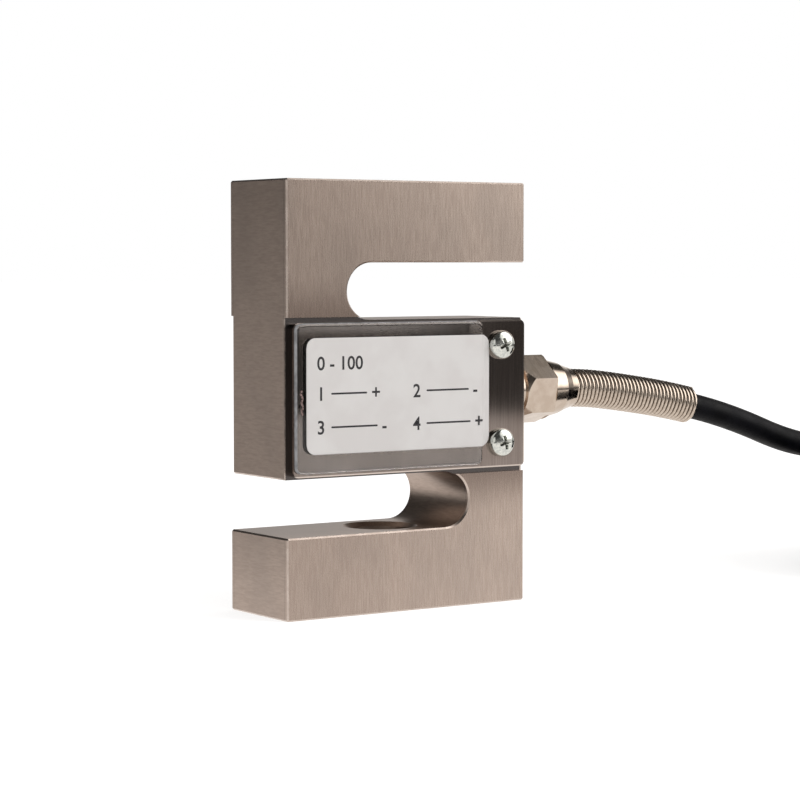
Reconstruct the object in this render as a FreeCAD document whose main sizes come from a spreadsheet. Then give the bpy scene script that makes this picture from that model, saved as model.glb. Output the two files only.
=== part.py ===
"""S type load cell with a spring strain relief and three metres of cable.

Millimetres, +Z up along the load axis, +X towards the cable gland, and -Y the labelled side.
The origin is the centre of the bottom face, where the load axis leaves the body.
"""

import FreeCAD, Part
import Sketcher
import math
import os
import re

doc = FreeCAD.newDocument("s_type_load_cell")
X_AXIS = FreeCAD.Vector(1, 0, 0)
Y_AXIS = FreeCAD.Vector(0, 1, 0)
Z_AXIS = FreeCAD.Vector(0, 0, 1)
SUB_PARTS = []


# ---------------------------------------------------------------- driving sizes

SIZES = {
    # the one-piece S body
    "body_width": 50.8,
    "body_depth": 19.05,
    "body_height": 76.2,
    "arm_thick": 14.4,
    "slot_gap": 10.0,
    "slot_wall": 12.45,
    "edge_break": 0.3,
    "load_thread_radius": 6.0,
    "load_thread_mouth": 0.8,
    # the shallow seats milled front and back for the covers
    "seat_depth": 1.0,
    "seat_margin": 0.55,
    # the gauge chamber: a round pocket each side of a thin web, and a bay for the board
    "web_thick": 4.0,
    "gauge_pocket_radius": 8.0,
    "bay_half_height": 6.5,
    "bay_reach": 15.0,
    "wire_bore_clearance": 0.5,
    "wire_bore_end": 7.0,
    "bay_step": 0.5,
    # metal covers
    "cover_thick": 1.5,
    "cover_inset": 0.4,
    "cover_open_inset": 1.0,
    "cover_corner": 1.0,
    # clear plate and label on the front cover
    "clear_thick": 0.9,
    "clear_end_inset": 10.05,
    "clear_margin": 0.3,
    "clear_rise": 0.3,
    "clear_inset": 0.15,
    "clear_corner": 1.3,
    "label_thick": 0.15,
    "label_lap": 1.6,
    "label_margin": 2.95,
    "label_corner": 1.8,
    "label_inset": 1.85,
    "label_rise": 0.7,
    "label_ramp": 0.7,
    # cover screws
    "screw_inset": 5.8,
    "screw_margin": 4.45,
    "screw_radius": 1.45,
    "screw_length": 5.0,
    "screw_clearance": 0.05,
    "screw_hole_spare": 0.5,
    "head_radius": 2.6,
    "head_rise": 1.9,
    "recess_reach": 1.45,
    "recess_width": 0.7,
    "recess_deep": 1.1,
    # cable gland
    "spigot_radius": 4.0,
    "spigot_length": 6.0,
    "collar_radius": 5.2,
    "collar_length": 4.0,
    "boss_radius": 4.3,
    "boss_length": 4.0,
    "nut_flats": 11.3,
    "nut_turn": -10.0,
    "nut_length": 6.6,
    "nut_bevel": 0.9,
    "nose_length": 6.7,
    "nose_root_radius": 5.6,
    "nose_middle_radius": 4.9,
    "nose_end_radius": 3.85,
    "nose_break": 0.2,
    "gland_clearance": 0.05,
    "tail_clearance": 0.2,
    "bush_length": 4.0,
    "bush_grip": 0.02,
    # spring strain relief
    "spring_radius": 3.65,
    "spring_tail_radius": 3.1,
    "spring_length": 30.0,
    "spring_clearance": 0.1,
    # cable
    "cable_radius": 2.5,
    "sheath_end": 17.0,
    "fold_radius": 15.0,
    "hank_columns": 3.0,
    "hank_layers": 5.0,
    "hank_straight": 35.0,
    "tie_thick": 1.0,
    "tie_width": 4.5,
    "tie_head": 2.2,
    "tie_head_margin": 0.6,
    "hank_bevel": 1.3,
    "core_length": 13.0,
    "core_radius": 0.65,
    "core_bare_radius": 0.4,
    "core_bare_length": 5.0,
    "core_spread": 0.9,
    # gauges, board and inner leads
    "gauge_side": 4.0,
    "gauge_thick": 0.15,
    "gauge_offset": 3.6,
    "coating_thick": 1.0,
    "coating_clearance": 0.3,
    "board_length": 5.0,
    "board_height": 12.0,
    "board_thick": 1.0,
    "board_clearance": 0.4,
    "lead_radius": 0.3,
    "lead_pitch": 0.75,
    "lead_straight": 1.4,
}

sheet = doc.addObject("Spreadsheet::Sheet", "Sizes")
for row, (alias, value) in enumerate(SIZES.items(), start=1):
    sheet.set("A%d" % row, alias)
    sheet.set("B%d" % row, str(value))
    sheet.setAlias("B%d" % row, alias)
reckoner = doc.addObject("Spreadsheet::Sheet", "Reckoner")
doc.recompute()


def expand(expression):
    """Write each size's name as a reference to its cell in the sheet."""
    def refer(word):
        return "Sizes." + word.group() if word.group() in SIZES else word.group()

    return re.sub("[a-z_]+", refer, expression)


def bind(target, **expressions):
    """Bind properties of an object to the sheet; PX, PY and PZ are its place."""
    places = {"PX": "Placement.Base.x", "PY": "Placement.Base.y", "PZ": "Placement.Base.z"}
    for name, expression in expressions.items():
        target.setExpression(places.get(name, name), expand(expression))


def size(alias):
    return float(sheet.get(alias))


def number(expression):
    """The value of an expression in the sheet's sizes, for plain Part shapes."""
    reckoner.set("A1", "=0 + " + expand(expression))
    reckoner.recompute()
    return float(reckoner.get("A1"))


def sub_part(target, label):
    """Give a finished object the name of its file and keep it for export."""
    target.Label = label
    SUB_PARTS.append(target)
    return target


# ---------------------------------------------------------------- levels used by several pieces

MID = "body_height / 2"
SEAT_HALF = "( body_height / 2 - arm_thick - slot_gap + seat_margin )"
SEAT_Y = "( body_depth / 2 - seat_depth )"
COVER_Y = "( body_depth / 2 - seat_depth + cover_thick )"
COVER_LEFT = "( 0 - body_width / 2 + cover_open_inset )"
COVER_RIGHT = "( body_width / 2 - cover_inset )"
COVER_HALF = "( body_height / 2 - arm_thick - slot_gap - cover_inset )"
CLEAR_LEFT = "( cover_open_inset - body_width / 2 + clear_inset )"
CLEAR_RIGHT = "( body_width / 2 - clear_end_inset )"
CLEAR_HALF = "( body_height / 2 - arm_thick - slot_gap - cover_inset - clear_margin )"
LABEL_HALF = "( body_height / 2 - arm_thick - slot_gap - cover_inset - clear_margin - label_margin )"
SCREW_UP = "( body_height / 2 - arm_thick - slot_gap - cover_inset - screw_margin )"
SCREW_X = "( body_width / 2 - screw_inset )"
SLOT_ROUND_X = "( body_width / 2 - slot_wall - slot_gap / 2 )"
NUT_X = "( body_width / 2 + collar_length )"
NOSE_X = "( body_width / 2 + collar_length + nut_length )"
NOSE_END_X = "( body_width / 2 + collar_length + nut_length + nose_length )"


# ---------------------------------------------------------------- sketch helpers

def new_body(name):
    return doc.addObject("PartDesign::Body", name)


def new_sketch(body, name, plane, offset="0"):
    """A sketch on one of the body's own planes, moved along that plane's normal."""
    sketch = body.newObject("Sketcher::SketchObject", name)
    role = plane + "_Plane"
    support = [item for item in body.Origin.OriginFeatures if item.Role == role][0]
    sketch.AttachmentSupport = [(support, "")]
    sketch.MapMode = "FlatFace"
    sketch.setExpression("AttachmentOffset.Base.z", expand(offset))
    return sketch


def pin_point(sketch, index, end, x, y):
    """Fix one point of a sketch by two expressions, measured from the sketch's origin."""
    for kind, expression in (("DistanceX", x), ("DistanceY", y)):
        value = number(expression)
        constraint = sketch.addConstraint(Sketcher.Constraint(kind, -1, 1, index, end, value))
        sketch.setExpression("Constraints[%d]" % constraint, expand(expression))


def outline(sketch, points):
    """Close a straight-sided outline through points given as pairs of expressions."""
    values = [FreeCAD.Vector(number(x), number(y), 0) for x, y in points]
    first = len(sketch.Geometry)
    count = len(points)
    for index in range(count):
        following = (index + 1) % count
        sketch.addGeometry(Part.LineSegment(values[index], values[following]))
    for index in range(count):
        following = first + (index + 1) % count
        sketch.addConstraint(Sketcher.Constraint("Coincident", first + index, 2, following, 1))
    for index, (x, y) in enumerate(points):
        pin_point(sketch, first + index, 1, x, y)


def rectangle(sketch, left, right, bottom, top):
    outline(sketch, [(left, bottom), (right, bottom), (right, top), (left, top)])


def circle(sketch, x, y, radius):
    centre = FreeCAD.Vector(number(x), number(y), 0)
    index = sketch.addGeometry(Part.Circle(centre, Z_AXIS, number(radius)))
    pin_point(sketch, index, 3, x, y)
    constraint = sketch.addConstraint(Sketcher.Constraint("Radius", index, number(radius)))
    sketch.setExpression("Constraints[%d]" % constraint, expand(radius))


def slot_outline(sketch, open_x, round_x, low, high):
    """A slot that is open at one side and ends in a full round."""
    start, centre = number(open_x), number(round_x)
    bottom, top = number(low), number(high)
    rounded = Part.Circle(FreeCAD.Vector(centre, (bottom + top) / 2, 0), Z_AXIS, (top - bottom) / 2)
    leftward = centre < start
    first_angle = math.pi / 2 if leftward else -math.pi / 2
    low_end, high_end = (2, 1) if leftward else (1, 2)
    corners = [FreeCAD.Vector(x, y, 0) for x, y in
               ((start, bottom), (centre, bottom), (centre, top), (start, top))]
    floor = sketch.addGeometry(Part.LineSegment(corners[0], corners[1]))
    arc = sketch.addGeometry(Part.ArcOfCircle(rounded, first_angle, first_angle + math.pi))
    roof = sketch.addGeometry(Part.LineSegment(corners[2], corners[3]))
    mouth = sketch.addGeometry(Part.LineSegment(corners[3], corners[0]))
    joins = ((floor, 2, arc, low_end), (arc, high_end, roof, 1), (roof, 2, mouth, 1), (mouth, 2, floor, 1))
    for join in joins:
        sketch.addConstraint(Sketcher.Constraint("Coincident", *join))
    pin_point(sketch, floor, 1, open_x, low)
    pin_point(sketch, floor, 2, round_x, low)
    pin_point(sketch, roof, 1, round_x, high)
    pin_point(sketch, roof, 2, open_x, high)
    constraint = sketch.addConstraint(Sketcher.Constraint("DistanceX", -1, 1, arc, 3, centre))
    sketch.setExpression("Constraints[%d]" % constraint, expand(round_x))


def pad(body, name, sketch, length, symmetric=False):
    feature = body.newObject("PartDesign::Pad", name)
    feature.Profile = sketch
    feature.SideType = "Symmetric" if symmetric else "One side"
    bind(feature, Length=length)
    doc.recompute()
    return feature


def pocket(body, name, sketch, length=None):
    """Cut a sketch away, to a depth, or right through both ways when no depth is given."""
    before = body.Shape.Volume
    feature = body.newObject("PartDesign::Pocket", name)
    feature.Profile = sketch
    if length is None:
        feature.SideType = "Symmetric"
        feature.Type = "ThroughAll"
    else:
        bind(feature, Length=length)
    doc.recompute()
    if feature.Shape.Volume > before - 0.001:
        raise RuntimeError(name + " removes nothing")
    return feature


def edge_names(shape, wanted):
    """Names of the edges that a test picks out by their own geometry."""
    return ["Edge%d" % (i + 1) for i, edge in enumerate(shape.Edges) if wanted(edge)]


def chamfer(body, name, wanted, width):
    base = body.Tip
    feature = body.newObject("PartDesign::Chamfer", name)
    feature.Base = (base, edge_names(base.Shape, wanted))
    bind(feature, Size=width)
    doc.recompute()
    return feature


def fillet(body, name, wanted, radius):
    base = body.Tip
    feature = body.newObject("PartDesign::Fillet", name)
    feature.Base = (base, edge_names(base.Shape, wanted))
    bind(feature, Radius=radius)
    doc.recompute()
    return feature


def is_round(edge, radius):
    return isinstance(edge.Curve, Part.Circle) and abs(edge.Curve.Radius - radius) < 0.001


def runs_along(edge, axis):
    """True for a straight edge that is parallel to an axis."""
    if not isinstance(edge.Curve, Part.Line):
        return False
    return edge.tangentAt(edge.FirstParameter).cross(axis).Length < 0.001


# ---------------------------------------------------------------- S body

def make_s_beam():
    """One block, slotted from both sides, with seats and a gauge chamber in its middle limb."""
    body = new_body("SBeam")
    block = new_sketch(body, "BlockOutline", "XZ")
    rectangle(block, "0 - body_width / 2", "body_width / 2", "0", "body_height")
    pad(body, "Block", block, "body_depth", symmetric=True)

    past_side = "( body_width / 2 + slot_gap )"
    upper = new_sketch(body, "UpperSlotOutline", "XZ")
    slot_outline(upper, past_side, "0 - " + SLOT_ROUND_X,
                 "body_height - arm_thick - slot_gap", "body_height - arm_thick")
    pocket(body, "UpperSlot", upper)
    lower = new_sketch(body, "LowerSlotOutline", "XZ")
    slot_outline(lower, "0 - " + past_side, SLOT_ROUND_X, "arm_thick", "arm_thick + slot_gap")
    pocket(body, "LowerSlot", lower)

    half_width, half_depth = size("body_width") / 2, size("body_depth") / 2

    def on_outline(edge):
        box = edge.BoundBox
        on_face = box.YLength < 0.001 and abs(abs(box.YMin) - half_depth) < 0.001
        on_corner = runs_along(edge, Y_AXIS) and abs(abs(box.XMin) - half_width) < 0.001
        return on_face or on_corner

    chamfer(body, "BrokenEdges", on_outline, "edge_break")

    bores = (("Upper", "body_height", "body_height - arm_thick"), ("Lower", "arm_thick", "0"))
    for side, high, low in bores:
        bore = new_sketch(body, side + "ThreadOutline", "XY", high)
        circle(bore, "0", "0", "load_thread_radius")
        pocket(body, side + "Thread", bore, "arm_thick")

    def on_mouth(edge):
        return is_round(edge, size("load_thread_radius")) and edge.BoundBox.ZLength < 0.001

    chamfer(body, "ThreadMouths", on_mouth, "load_thread_mouth")

    mid, half = MID, SEAT_HALF
    seat = new_sketch(body, "FrontSeatOutline", "XZ", "body_depth / 2")
    rectangle(seat, "0 - body_width", "body_width", mid + " - " + half, mid + " + " + half)
    pocket(body, "FrontSeat", seat, "seat_depth")
    rear_seat = new_sketch(body, "RearSeatOutline", "XZ", "0 - " + SEAT_Y)
    rectangle(rear_seat, "0 - body_width", "body_width", mid + " - " + half, mid + " + " + half)
    pocket(body, "RearSeat", rear_seat, "seat_depth")

    gauge = new_sketch(body, "FrontGaugePocketOutline", "XZ", SEAT_Y)
    circle(gauge, "0", mid, "gauge_pocket_radius")
    pocket(body, "FrontGaugePocket", gauge, SEAT_Y + " - web_thick / 2")
    rear = new_sketch(body, "RearGaugePocketOutline", "XZ", "0 - web_thick / 2")
    circle(rear, "0", mid, "gauge_pocket_radius")
    pocket(body, "RearGaugePocket", rear, SEAT_Y + " - web_thick / 2")
    bay = new_sketch(body, "BoardBayOutline", "XZ", SEAT_Y)
    rectangle(bay, "0", "bay_reach", mid + " - bay_half_height", mid + " + bay_half_height")
    pocket(body, "BoardBay", bay, SEAT_Y + " - web_thick / 2 - bay_step")

    spigot = new_sketch(body, "GlandBoreOutline", "YZ", "body_width / 2")
    circle(spigot, "0", mid, "spigot_radius + gland_clearance")
    pocket(body, "GlandBore", spigot, "spigot_length")
    wire = new_sketch(body, "WireBoreOutline", "YZ", "body_width / 2")
    circle(wire, "0", mid, "cable_radius + wire_bore_clearance")
    pocket(body, "WireBore", wire, "body_width / 2 - wire_bore_end")

    depth = "( screw_length - cover_thick + screw_hole_spare )"
    for side, level in (("Front", SEAT_Y), ("Rear", depth + " - " + SEAT_Y)):
        screws = new_sketch(body, side + "ScrewHoleOutline", "XZ", level)
        for sign in (" - ", " + "):
            circle(screws, SCREW_X, mid + sign + SCREW_UP, "screw_radius + screw_clearance")
        pocket(body, side + "ScrewHoles", screws, depth)
    return sub_part(body, "s_beam")


# ---------------------------------------------------------------- covers, clear plate and label

def make_cover(label, front):
    """A flat plate with rounded corners and two clearance holes at its fixed end."""
    body = new_body(label.title().replace("_", ""))
    plate = new_sketch(body, label + "_outline", "XZ", SEAT_Y if front else "0 - " + COVER_Y)
    rectangle(plate, COVER_LEFT, COVER_RIGHT, MID + " - " + COVER_HALF, MID + " + " + COVER_HALF)
    for sign in (" - ", " + "):
        circle(plate, SCREW_X, MID + sign + SCREW_UP, "screw_radius + screw_clearance")
    pad(body, label + "_plate", plate, "cover_thick")
    fillet(body, label + "_corners", lambda edge: runs_along(edge, Y_AXIS), "cover_corner")
    return sub_part(body, label)


def make_clear_plate():
    body = new_body("ClearPlate")
    plate = new_sketch(body, "ClearOutline", "XZ", COVER_Y)
    middle = MID + " + clear_rise"
    rectangle(plate, CLEAR_LEFT, CLEAR_RIGHT, middle + " - " + CLEAR_HALF, middle + " + " + CLEAR_HALF)
    pad(body, "ClearSheet", plate, "clear_thick")
    fillet(body, "ClearCorners", lambda edge: runs_along(edge, Y_AXIS), "clear_corner")
    front = number("0 - " + COVER_Y + " - clear_thick")

    def on_front(edge):
        box = edge.BoundBox
        return box.YLength < 0.001 and abs(box.YMin - front) < 0.001

    chamfer(body, "ClearBevel", on_front, "edge_break")
    return sub_part(body, "clear_plate")


def make_label():
    """A sticker on the clear plate whose free end laps down onto the metal cover."""
    strip = new_body("LabelStrip")
    section = new_sketch(strip, "LabelSection", "XY", MID + " + label_rise")
    low = "0 - " + COVER_Y
    high = low + " - clear_thick"
    step = CLEAR_RIGHT
    left = CLEAR_LEFT + " + label_inset"
    right = step + " + label_lap"
    outline(section, [
        (left, high), (step, high), (step + " + label_ramp", low), (right, low),
        (right, low + " - label_thick"), (step + " + label_ramp", low + " - label_thick"),
        (step, high + " - label_thick"), (left, high + " - label_thick"),
    ])
    pad(strip, "LabelPad", section, "2 * " + LABEL_HALF, symmetric=True)
    blank = new_body("LabelBlank")
    cut = new_sketch(blank, "LabelCut", "XZ", SEAT_Y)
    middle = MID + " + label_rise"
    rectangle(cut, left, right, middle + " - " + LABEL_HALF, middle + " + " + LABEL_HALF)
    pad(blank, "LabelBlankPad", cut, "body_depth")
    fillet(blank, "LabelCorners", lambda edge: runs_along(edge, Y_AXIS), "label_corner")
    label = doc.addObject("Part::Common", "Label")
    label.Base = strip
    label.Tool = blank
    return sub_part(label, "label")


def make_screw(label, front, sign):
    """A pan head screw: turned profile with a domed head, and a cross recess."""
    body = new_body(label.title().replace("_", ""))
    profile = new_sketch(body, label + "_profile", "XY")
    outline(profile, [
        ("0", "0 - head_rise"), ("head_radius * 0.45", "0 - head_rise * 0.95"),
        ("head_radius * 0.8", "0 - head_rise * 0.72"), ("head_radius", "0 - head_rise * 0.3"),
        ("head_radius", "0"), ("screw_radius", "0"), ("screw_radius", "screw_length - 0.3"),
        ("screw_radius - 0.3", "screw_length"), ("0", "screw_length"),
    ])
    turned = body.newObject("PartDesign::Revolution", label + "_turned")
    turned.Profile = profile
    turned.ReferenceAxis = (profile, ["V_Axis"])
    turned.Angle = 360
    doc.recompute()
    recess = new_sketch(body, label + "_recess_outline", "XZ", "head_rise")
    arm, half = "recess_reach", "recess_width / 2"
    far, near = "0 - " + arm, "0 - " + half
    outline(recess, [
        (near, far), (half, far), (half, near), (arm, near), (arm, half), (half, half),
        (half, arm), (near, arm), (near, half), (far, half), (far, near), (near, near),
    ])
    pocket(body, label + "_recess", recess, "recess_deep")
    seat = COVER_Y if not front else "0 - " + COVER_Y
    bind(body, PX=SCREW_X, PY=seat, PZ=MID + sign + SCREW_UP)
    if not front:
        body.Placement.Rotation = FreeCAD.Rotation(Z_AXIS, 180)
    return sub_part(body, label)


# ---------------------------------------------------------------- gauges, board and coating

def make_box(name, length, width, height, **place):
    box = doc.addObject("Part::Box", name)
    bind(box, Length=length, Width=width, Height=height, **place)
    return box


def make_gauge(label, front, side):
    """A foil gauge bonded to the web, turned by 45 degrees."""
    gauge = make_box(label.title().replace("_", ""), "gauge_side", "gauge_thick", "gauge_side")
    half_diagonal = "gauge_side * 0.70711"
    bind(gauge, PX="gauge_offset * %d" % side,
         PY="0 - web_thick / 2 - gauge_thick" if front else "web_thick / 2",
         PZ=MID + " - " + half_diagonal)
    gauge.Placement.Rotation = FreeCAD.Rotation(Y_AXIS, -45)
    return sub_part(gauge, label)


def make_coating(label, front, gauges):
    """A thin disc of sealant over the gauges, with their shapes left out of it."""
    disc = doc.addObject("Part::Cylinder", label + "_disc")
    disc.Placement.Rotation = FreeCAD.Rotation(X_AXIS, 90)
    bind(disc, Radius="gauge_pocket_radius - coating_clearance", Height="coating_thick", PZ=MID,
         PY="0 - web_thick / 2" if front else "web_thick / 2 + coating_thick")
    tools = doc.addObject("Part::MultiFuse", label + "_hollows")
    tools.Shapes = gauges
    coating = doc.addObject("Part::Cut", label.title().replace("_", ""))
    coating.Base = disc
    coating.Tool = tools
    return sub_part(coating, label)


def make_board():
    """The bridge board: it lies on the floor of the bay, across the wire groove."""
    board = make_box("BridgeBoard", "board_length", "board_thick", "board_height",
                     PX="gauge_pocket_radius + board_clearance",
                     PY="0 - web_thick / 2 - bay_step - board_thick",
                     PZ=MID + " - board_height / 2")
    return sub_part(board, "bridge_board")


# ---------------------------------------------------------------- cable gland

def turn_about_gland_axis(body, name, profile):
    """Revolve a section about the gland's own axis, a construction line in its sketch."""
    start = FreeCAD.Vector(0, number(MID), 0)
    end = FreeCAD.Vector(number(NOSE_END_X), number(MID), 0)
    line = profile.addGeometry(Part.LineSegment(start, end), True)
    pin_point(profile, line, 1, "0", MID)
    pin_point(profile, line, 2, NOSE_END_X, MID)
    turned = body.newObject("PartDesign::Revolution", name)
    turned.Profile = profile
    turned.ReferenceAxis = (profile, ["Axis0"])
    turned.Angle = 360
    doc.recompute()
    return turned


def make_gland_body():
    """Spigot in the beam, round collar against its side, and the boss that the nut goes on."""
    body = new_body("GlandBody")
    profile = new_sketch(body, "GlandBodySection", "XZ")
    bore = "cable_radius + gland_clearance"
    face = "body_width / 2"
    outline(profile, [
        (face + " - spigot_length", MID + " + " + bore),
        (face + " + collar_length + boss_length", MID + " + " + bore),
        (face + " + collar_length + boss_length", MID + " + boss_radius - gland_clearance"),
        (face + " + collar_length", MID + " + boss_radius - gland_clearance"),
        (face + " + collar_length", MID + " + collar_radius"),
        (face + " + edge_break", MID + " + collar_radius"),
        (face, MID + " + collar_radius - edge_break"),
        (face, MID + " + spigot_radius"),
        (face + " - spigot_length", MID + " + spigot_radius"),
    ])
    turn_about_gland_axis(body, "GlandBodyTurned", profile)
    return sub_part(body, "gland_body")


def make_gland_nut():
    """A hexagon with bevelled corners that runs out into a bulged nose."""
    body = new_body("GlandNut")
    profile = new_sketch(body, "GlandNutSection", "XZ")
    corner = "( nut_flats / 1.7320508 )"
    outline(profile, [
        (NUT_X, MID + " + boss_radius"),
        (NUT_X + " + boss_length + bush_length", MID + " + boss_radius"),
        (NUT_X + " + boss_length + bush_length", MID + " + spring_tail_radius + tail_clearance"),
        (NOSE_END_X, MID + " + spring_tail_radius + tail_clearance"),
        (NOSE_END_X, MID + " + nose_end_radius - nose_break"),
        (NOSE_END_X + " - nose_break", MID + " + nose_end_radius"),
        (NOSE_X + " + nose_length * 0.75", MID + " + nose_end_radius * 0.6 + nose_middle_radius * 0.4"),
        (NOSE_X + " + nose_length * 0.5", MID + " + nose_middle_radius"),
        (NOSE_X + " + nose_break", MID + " + nose_root_radius"),
        (NOSE_X, MID + " + nose_root_radius + nose_break"),
        (NOSE_X, MID + " + " + corner + " - nose_break"),
        (NOSE_X + " - nose_break", MID + " + " + corner),
        (NUT_X + " + nut_bevel * 1.5", MID + " + " + corner),
        (NUT_X, MID + " + " + corner + " - nut_bevel"),
    ])
    turn_about_gland_axis(body, "GlandNutTurned", profile)
    flats = new_sketch(body, "GlandNutFlats", "YZ", NOSE_X)
    circle(flats, "0", MID, "nut_flats")
    corners = []
    for step in range(6):
        angle = "%d - nut_turn" % (210 + 60 * step)
        along = "( nut_flats / 1.7320508 ) * "
        corners.append((along + "cos( ( " + angle + " ) * 1 deg )",
                        MID + " + " + along + "sin( ( " + angle + " ) * 1 deg )"))
    outline(flats, corners)
    pocket(body, "GlandNutHexagon", flats, "nut_length")
    return sub_part(body, "gland_nut")


def make_gland_bush():
    """The rubber ring that the nut squeezes onto the cable."""
    tube = doc.addObject("Part::Cylinder", "GlandBushOutside")
    hole = doc.addObject("Part::Cylinder", "GlandBushHole")
    start = NUT_X + " + boss_length"
    bind(tube, Radius="boss_radius - gland_clearance", Height="bush_length", PX=start, PZ=MID)
    bind(hole, Radius="cable_radius + bush_grip", Height="bush_length", PX=start, PZ=MID)
    for piece in (tube, hole):
        piece.Placement.Rotation = FreeCAD.Rotation(Y_AXIS, 90)
    bush = doc.addObject("Part::Cut", "GlandBush")
    bush.Base = tube
    bush.Tool = hole
    return sub_part(bush, "gland_bush")


# ---------------------------------------------------------------- cable, spring and hank

def feature(label, shape):
    """A sub-part whose shape comes straight from Part's own functions."""
    piece = doc.addObject("Part::Feature", label.title().replace("_", ""))
    piece.Shape = shape
    piece.Placement = FreeCAD.Placement()
    return sub_part(piece, label)


def smooth_path(points):
    """Straight runs joined by tangent arcs, each as large as its two runs allow."""
    edges, radii, start = [], [], points[0]
    for before, corner, after in zip(points, points[1:], points[2:]):
        arriving, leaving = corner - before, after - corner
        turn = arriving.getAngle(leaving)
        reach = 0.45 * min(arriving.Length, leaving.Length)
        radii.append(reach / math.tan(turn / 2))
        arriving.normalize()
        leaving.normalize()
        first, last = corner - arriving * reach, corner + leaving * reach
        inward = (leaving - arriving).normalize()
        rise = radii[-1] / math.cos(turn / 2) - radii[-1]
        edges.append(Part.makeLine(start, first))
        edges.append(Part.Arc(first, corner + inward * rise, last).toShape())
        start = last
    edges.append(Part.makeLine(start, points[-1]))
    return Part.Wire(edges), radii


def tube_along(path, radius, inner=0.0):
    """A round tube swept along a path; with an inner radius it is hollow."""
    edge = path.Edges[0]
    start, heading = edge.valueAt(edge.FirstParameter), edge.tangentAt(edge.FirstParameter)

    def sweep(section_radius):
        ring = Part.Wire([Part.makeCircle(section_radius, start, heading)])
        return path.makePipeShell([ring], True, False)

    solid = sweep(radius)
    if inner > 0:
        solid = solid.cut(sweep(inner))
    return solid


def first_stretch(path, length):
    """The beginning of a path, up to a length along it."""
    kept = []
    left = length
    for edge in path.Edges:
        if edge.Length >= left:
            last = edge.getParameterByLength(left)
            kept.append(edge.Curve.toShape(edge.FirstParameter, last))
            break
        kept.append(edge)
        left -= edge.Length
    return Part.Wire(kept)


# The free cable's route, through the spring and down to the top layer of the hank. Each point
# gives x from the cable's start inside the gland, y, and the share of the whole fall so far.
DROOP = [(7.6, 0.0, 0.0), (16.1, 0.0, 0.065), (30.6, 0.0, 0.216), (46.6, 0.2, 0.473),
         (64.6, 1.2, 0.914), (79.1, 3.6, 1.0), (93.6, 5.0, 1.0)]
# The middle of the hank's near end, and each tie's distance from it along the hank.
HANK_CENTRE = (89.1, -20.0)
TIES = {"tie_rear": (28.0, 1), "tie_front": (9.5, -1)}
# The cable's free end: x and y from the middle of the hank's far end, on the lowest layer.
TAIL = [(5.5, -15.0), (-6.0, -14.4), (-17.0, -9.6), (-23.5, -7.9)]
# The bare cores: each one's side and height in the sheath, and how far sideways it fans out.
CORES = {"core_red": (-1, 1, -5.0), "core_green": (-1, -1, -2.2), "shield_drain": (0, 0, -0.2),
         "core_white": (1, -1, 1.6), "core_black": (1, 1, 5.0)}
# The share of a core that leaves straight, and of the drop to the ground that its tip makes.
CORE_STRAIGHT = 0.35
CORE_DROP = 0.95


def hank_corner():
    """The middle of the hank's near end, where its straight sides begin."""
    return cable_start().x + HANK_CENTRE[0], HANK_CENTRE[1]


def cable_start():
    """Where the free cable begins: against the bush, inside the nut."""
    return FreeCAD.Vector(number(NUT_X + " + boss_length + bush_length"), 0, number(MID))


def hank_level(layer):
    """The height of the cable's centre in a layer of the hank, counted from 0 at the bottom."""
    return size("tie_thick") + size("cable_radius") * (2 * layer + 1)


def free_route():
    start = cable_start()
    drop = start.z - hank_level(size("hank_layers") - 1)
    return [start] + [start + FreeCAD.Vector(x, y, -share * drop) for x, y, share in DROOP]


def make_spring(path):
    """The close-wound spring as a sleeve, with a reduced tail clamped in the nose."""
    face = number(NOSE_END_X)
    tail_length = face - path.Edges[0].valueAt(0).x
    whole = first_stretch(path, tail_length + size("spring_length"))
    side = 10 * size("spring_radius")
    corner = FreeCAD.Vector(face - side, -side / 2, number(MID) - side / 2)
    in_nose = Part.makeBox(side, side, side, corner)
    tail = tube_along(whole, size("spring_tail_radius")).common(in_nose)
    sleeve = tube_along(whole, size("spring_radius")).cut(in_nose)
    hole = tube_along(whole, size("cable_radius") + size("spring_clearance"))
    return feature("relief_spring", tail.fuse(sleeve).cut(hole).removeSplitter())


def oval_ring(inner, outer, low, high):
    """A ring with two straight sides along X and round ends, between two heights."""
    x, y = hank_corner()
    straight = size("hank_straight")

    def oval(radius):
        side = Part.makeBox(straight, 2 * radius, high - low, FreeCAD.Vector(x, y - radius, low))
        ends = [Part.makeCylinder(radius, high - low, FreeCAD.Vector(x + shift, y, low))
                for shift in (0, straight)]
        return side.fuse(ends).removeSplitter()

    return oval(outer).cut(oval(inner))


def make_hank():
    """The outer shape of the folded cable: columns side by side, layers on each other."""
    radius = size("cable_radius")
    inner = size("fold_radius") - radius
    outer = inner + 2 * radius * size("hank_columns")
    low = size("tie_thick")
    ring = oval_ring(inner, outer, low, low + 2 * radius * size("hank_layers"))
    level = [edge for edge in ring.Edges if edge.BoundBox.ZLength < 0.001]
    return feature("cable_hank", ring.makeChamfer(size("hank_bevel"), level))


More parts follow.
